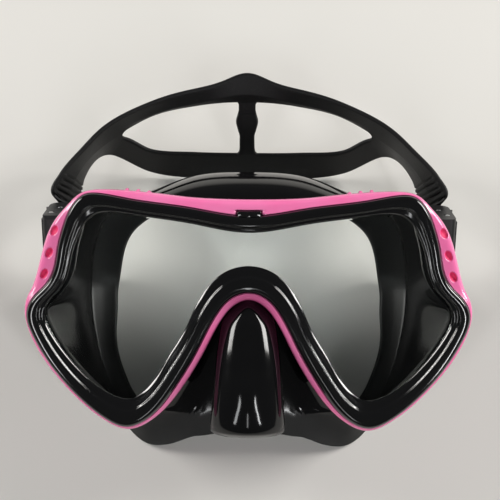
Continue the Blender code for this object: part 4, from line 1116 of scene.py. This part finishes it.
def bevelled(node, width, finish, slot, corners=()):
    """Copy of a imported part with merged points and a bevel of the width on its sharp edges."""
    piece = copy_part(node, finish)
    mesh = piece.data
    work = bmesh.new()
    work.from_mesh(mesh)
    bmesh.ops.remove_doubles(work, verts=work.verts, dist=1e-6)
    bmesh.ops.dissolve_limit(work, angle_limit=math.radians(2), verts=work.verts, edges=work.edges)
    for corner in corners:
        print(node, "rounded edges", round_corners(work, *corner))
    work.to_mesh(mesh)
    work.free()
    mesh.polygons.foreach_set("use_smooth", np.full(len(mesh.polygons), True))
    edge = piece.modifiers.new("edge", "BEVEL")
    edge.width = width * MM
    edge.segments = 3
    edge.limit_method = "ANGLE"
    edge.angle_limit = math.radians(35)
    shading = piece.modifiers.new("shading", "WEIGHTED_NORMAL")
    shading.weight = 100
    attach(piece, frame["nodes"][node]["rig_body"])
    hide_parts(node)


def wound_spring(node):
    """Copy of a packed spring in steel with its placing baked into its points; the ends of its legs are
    worked out but not used.
    """
    piece = copy_part(node, STEEL)
    start, end = [SWIVEL + reach * MM * BUCKLE_ALONG for reach in SPRING_LEG]
    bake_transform(piece)
    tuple(start)
    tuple(end)
    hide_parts(node)


# %% the parts of both sides, with the widths of their bevels in millimetres
SMALL_PARTS = [
    ("buckle", 0.8, SATIN, "buckle_plastic", BUCKLE_CORNERS),
    ("release_lever", 0.6, SATIN, "buckle_plastic", LEVER_CORNERS),
    ("swivel_pin", 0.25, STEEL, "steel"),
    ("swivel_washer", 0.12, NYLON, "nylon"),
    ("roller", 0.2, NYLON, "nylon"),
    ("roller_axle", 0.15, STEEL, "steel"),
    ("lever_axle", 0.15, STEEL, "steel"),
]
for side in ("left_", "right_"):
    for part, *how in SMALL_PARTS:
        bevelled(side + part, *how)
    wound_spring(side + "lever_spring")
print("small parts finished on both sides")

# %% [markdown]
# ## Table, light and camera
# The table is pale and the mask throws only a soft shadow on it, so two wide windows behind the
# sides give most of the light. Three narrow tubes in front draw the long lines on the gloss.
# The room is dim, so that black stays black. The camera looks almost straight at the lens.

# %% pale table with painted shade towards its edge
def table_top(points=64, radius=3.0, sunk=0.0002):
    """Flat disc just under the mask: one face with its points round a circle."""
    angle = np.arange(points) * 2 * math.pi / points
    flat = np.stack([radius * np.cos(angle), radius * np.sin(angle), 0 * angle - sunk], axis=1)
    mesh = bpy.data.meshes.new("table")
    mesh.from_pydata(flat, [], [list(range(points))])
    return add_object("table", mesh)


def table_paint_and_shade():
    """Pale paint by clouds, mixed to grey by the distance from the middle of the table: painted shade that
    darkens the far table.
    """
    start, where, paint = new_finish("table_paint_and_shade", Specular_IOR_Level=0.2)
    clouds = grains(start, where, 6.0, 3.0)
    away = start.node("ShaderNodeVectorMath", {"operation": "LENGTH"}, {0: where}, out="Value")
    pale = clouds.color(rgb(226, 224, 219), rgb(234, 232, 228))
    # painted shade: the table greys from 0.3 m to 1 m away from its middle
    far = away.between(0.3, 1.0)
    return paint(Base_Color=far.color(pale, rgb(158, 157, 154)), Roughness=0.7 + clouds * 0.1)


table = table_top()
table.data.materials.append(table_paint_and_shade())
print("table of", len(table.data.vertices), "points")

# %% sky and lamps
world = bpy.data.worlds.new("dim_room")
bpy.context.scene.world = world
world.use_nodes = True
DIM = 0.03
SEEN = 0.42
MIRRORED = 0.06
sky = world.node_tree.nodes["Background"]
sky.inputs["Color"].default_value = (0.97, 0.985, 1.0, 1.0)
rays = Wire(world.node_tree)
seen = rays.node("ShaderNodeLightPath", out="Is Camera Ray")
mirrored = rays.node("ShaderNodeLightPath", out="Is Glossy Ray")
rays.put(sky.inputs["Strength"], DIM + SEEN * seen + MIRRORED * mirrored)


def soft_lamp(name, place, aim, wide, tall, power, color):
    """Rectangular area lamp at a place, turned to face a point."""
    lamp = bpy.data.lights.new(name, "AREA")
    lamp.shape = "RECTANGLE"
    lamp.size = wide
    lamp.size_y = tall
    lamp.energy = power
    lamp.color = color
    made = add_object(name, lamp)
    made.location = place
    made.rotation_mode = "QUATERNION"
    made.rotation_quaternion = (Vector(aim) - Vector(place)).to_track_quat("-Z", "Y")


LAMP_AIM = (0.0, 0.0, 0.03)
COOL = (0.98, 0.99, 1.0)
WARM = (1.0, 0.985, 0.955)
LAMPS = [
    ("left_window", (-1.36, 0.56, 0.78), 0.80, 0.48, 20.2, WARM),
    ("right_window", (1.36, 0.56, 0.78), 0.80, 0.48, 25.4, WARM),
    ("left_tube", (-0.46, -0.68, 0.76), 0.10, 0.50, 1.6, COOL),
    ("middle_tube", (0.0, -0.74, 0.64), 0.04, 0.30, 0.25, COOL),
    ("right_tube", (0.44, -0.68, 0.76), 0.06, 0.50, 2.2, COOL),
]
for name, place, wide, tall, power, color in LAMPS:
    soft_lamp(name, place, LAMP_AIM, wide, tall, power, color)
print("lamps", [lamp[0] for lamp in LAMPS])

# %% camera
CAMERA_PLACE = np.array((0.4, -379.07, 49.76))
CAMERA_DROP = math.radians(4.0)
CAMERA_ROLL = math.radians(0.45)
CAMERA_ANGLE = math.radians(27.6)
view = bpy.data.cameras.new("camera")
view.lens = view.sensor_width / 2 / math.tan(CAMERA_ANGLE / 2)
view.clip_start = 0.01
camera = add_object("camera", view)
camera.location = on_table(CAMERA_PLACE)
way = np.array((0.0, math.cos(CAMERA_DROP), -math.sin(CAMERA_DROP))) @ MASK_AXES
camera.rotation_mode = "QUATERNION"
camera.rotation_quaternion = Vector(way).to_track_quat("-Z", "Y") @ Quaternion((0.0, 0.0, 1.0), CAMERA_ROLL)
bpy.context.scene.camera = camera
bpy.context.scene.view_settings.view_transform = "Standard"
print("camera at", np.round(camera.location, 3), "lens", round(view.lens, 1))
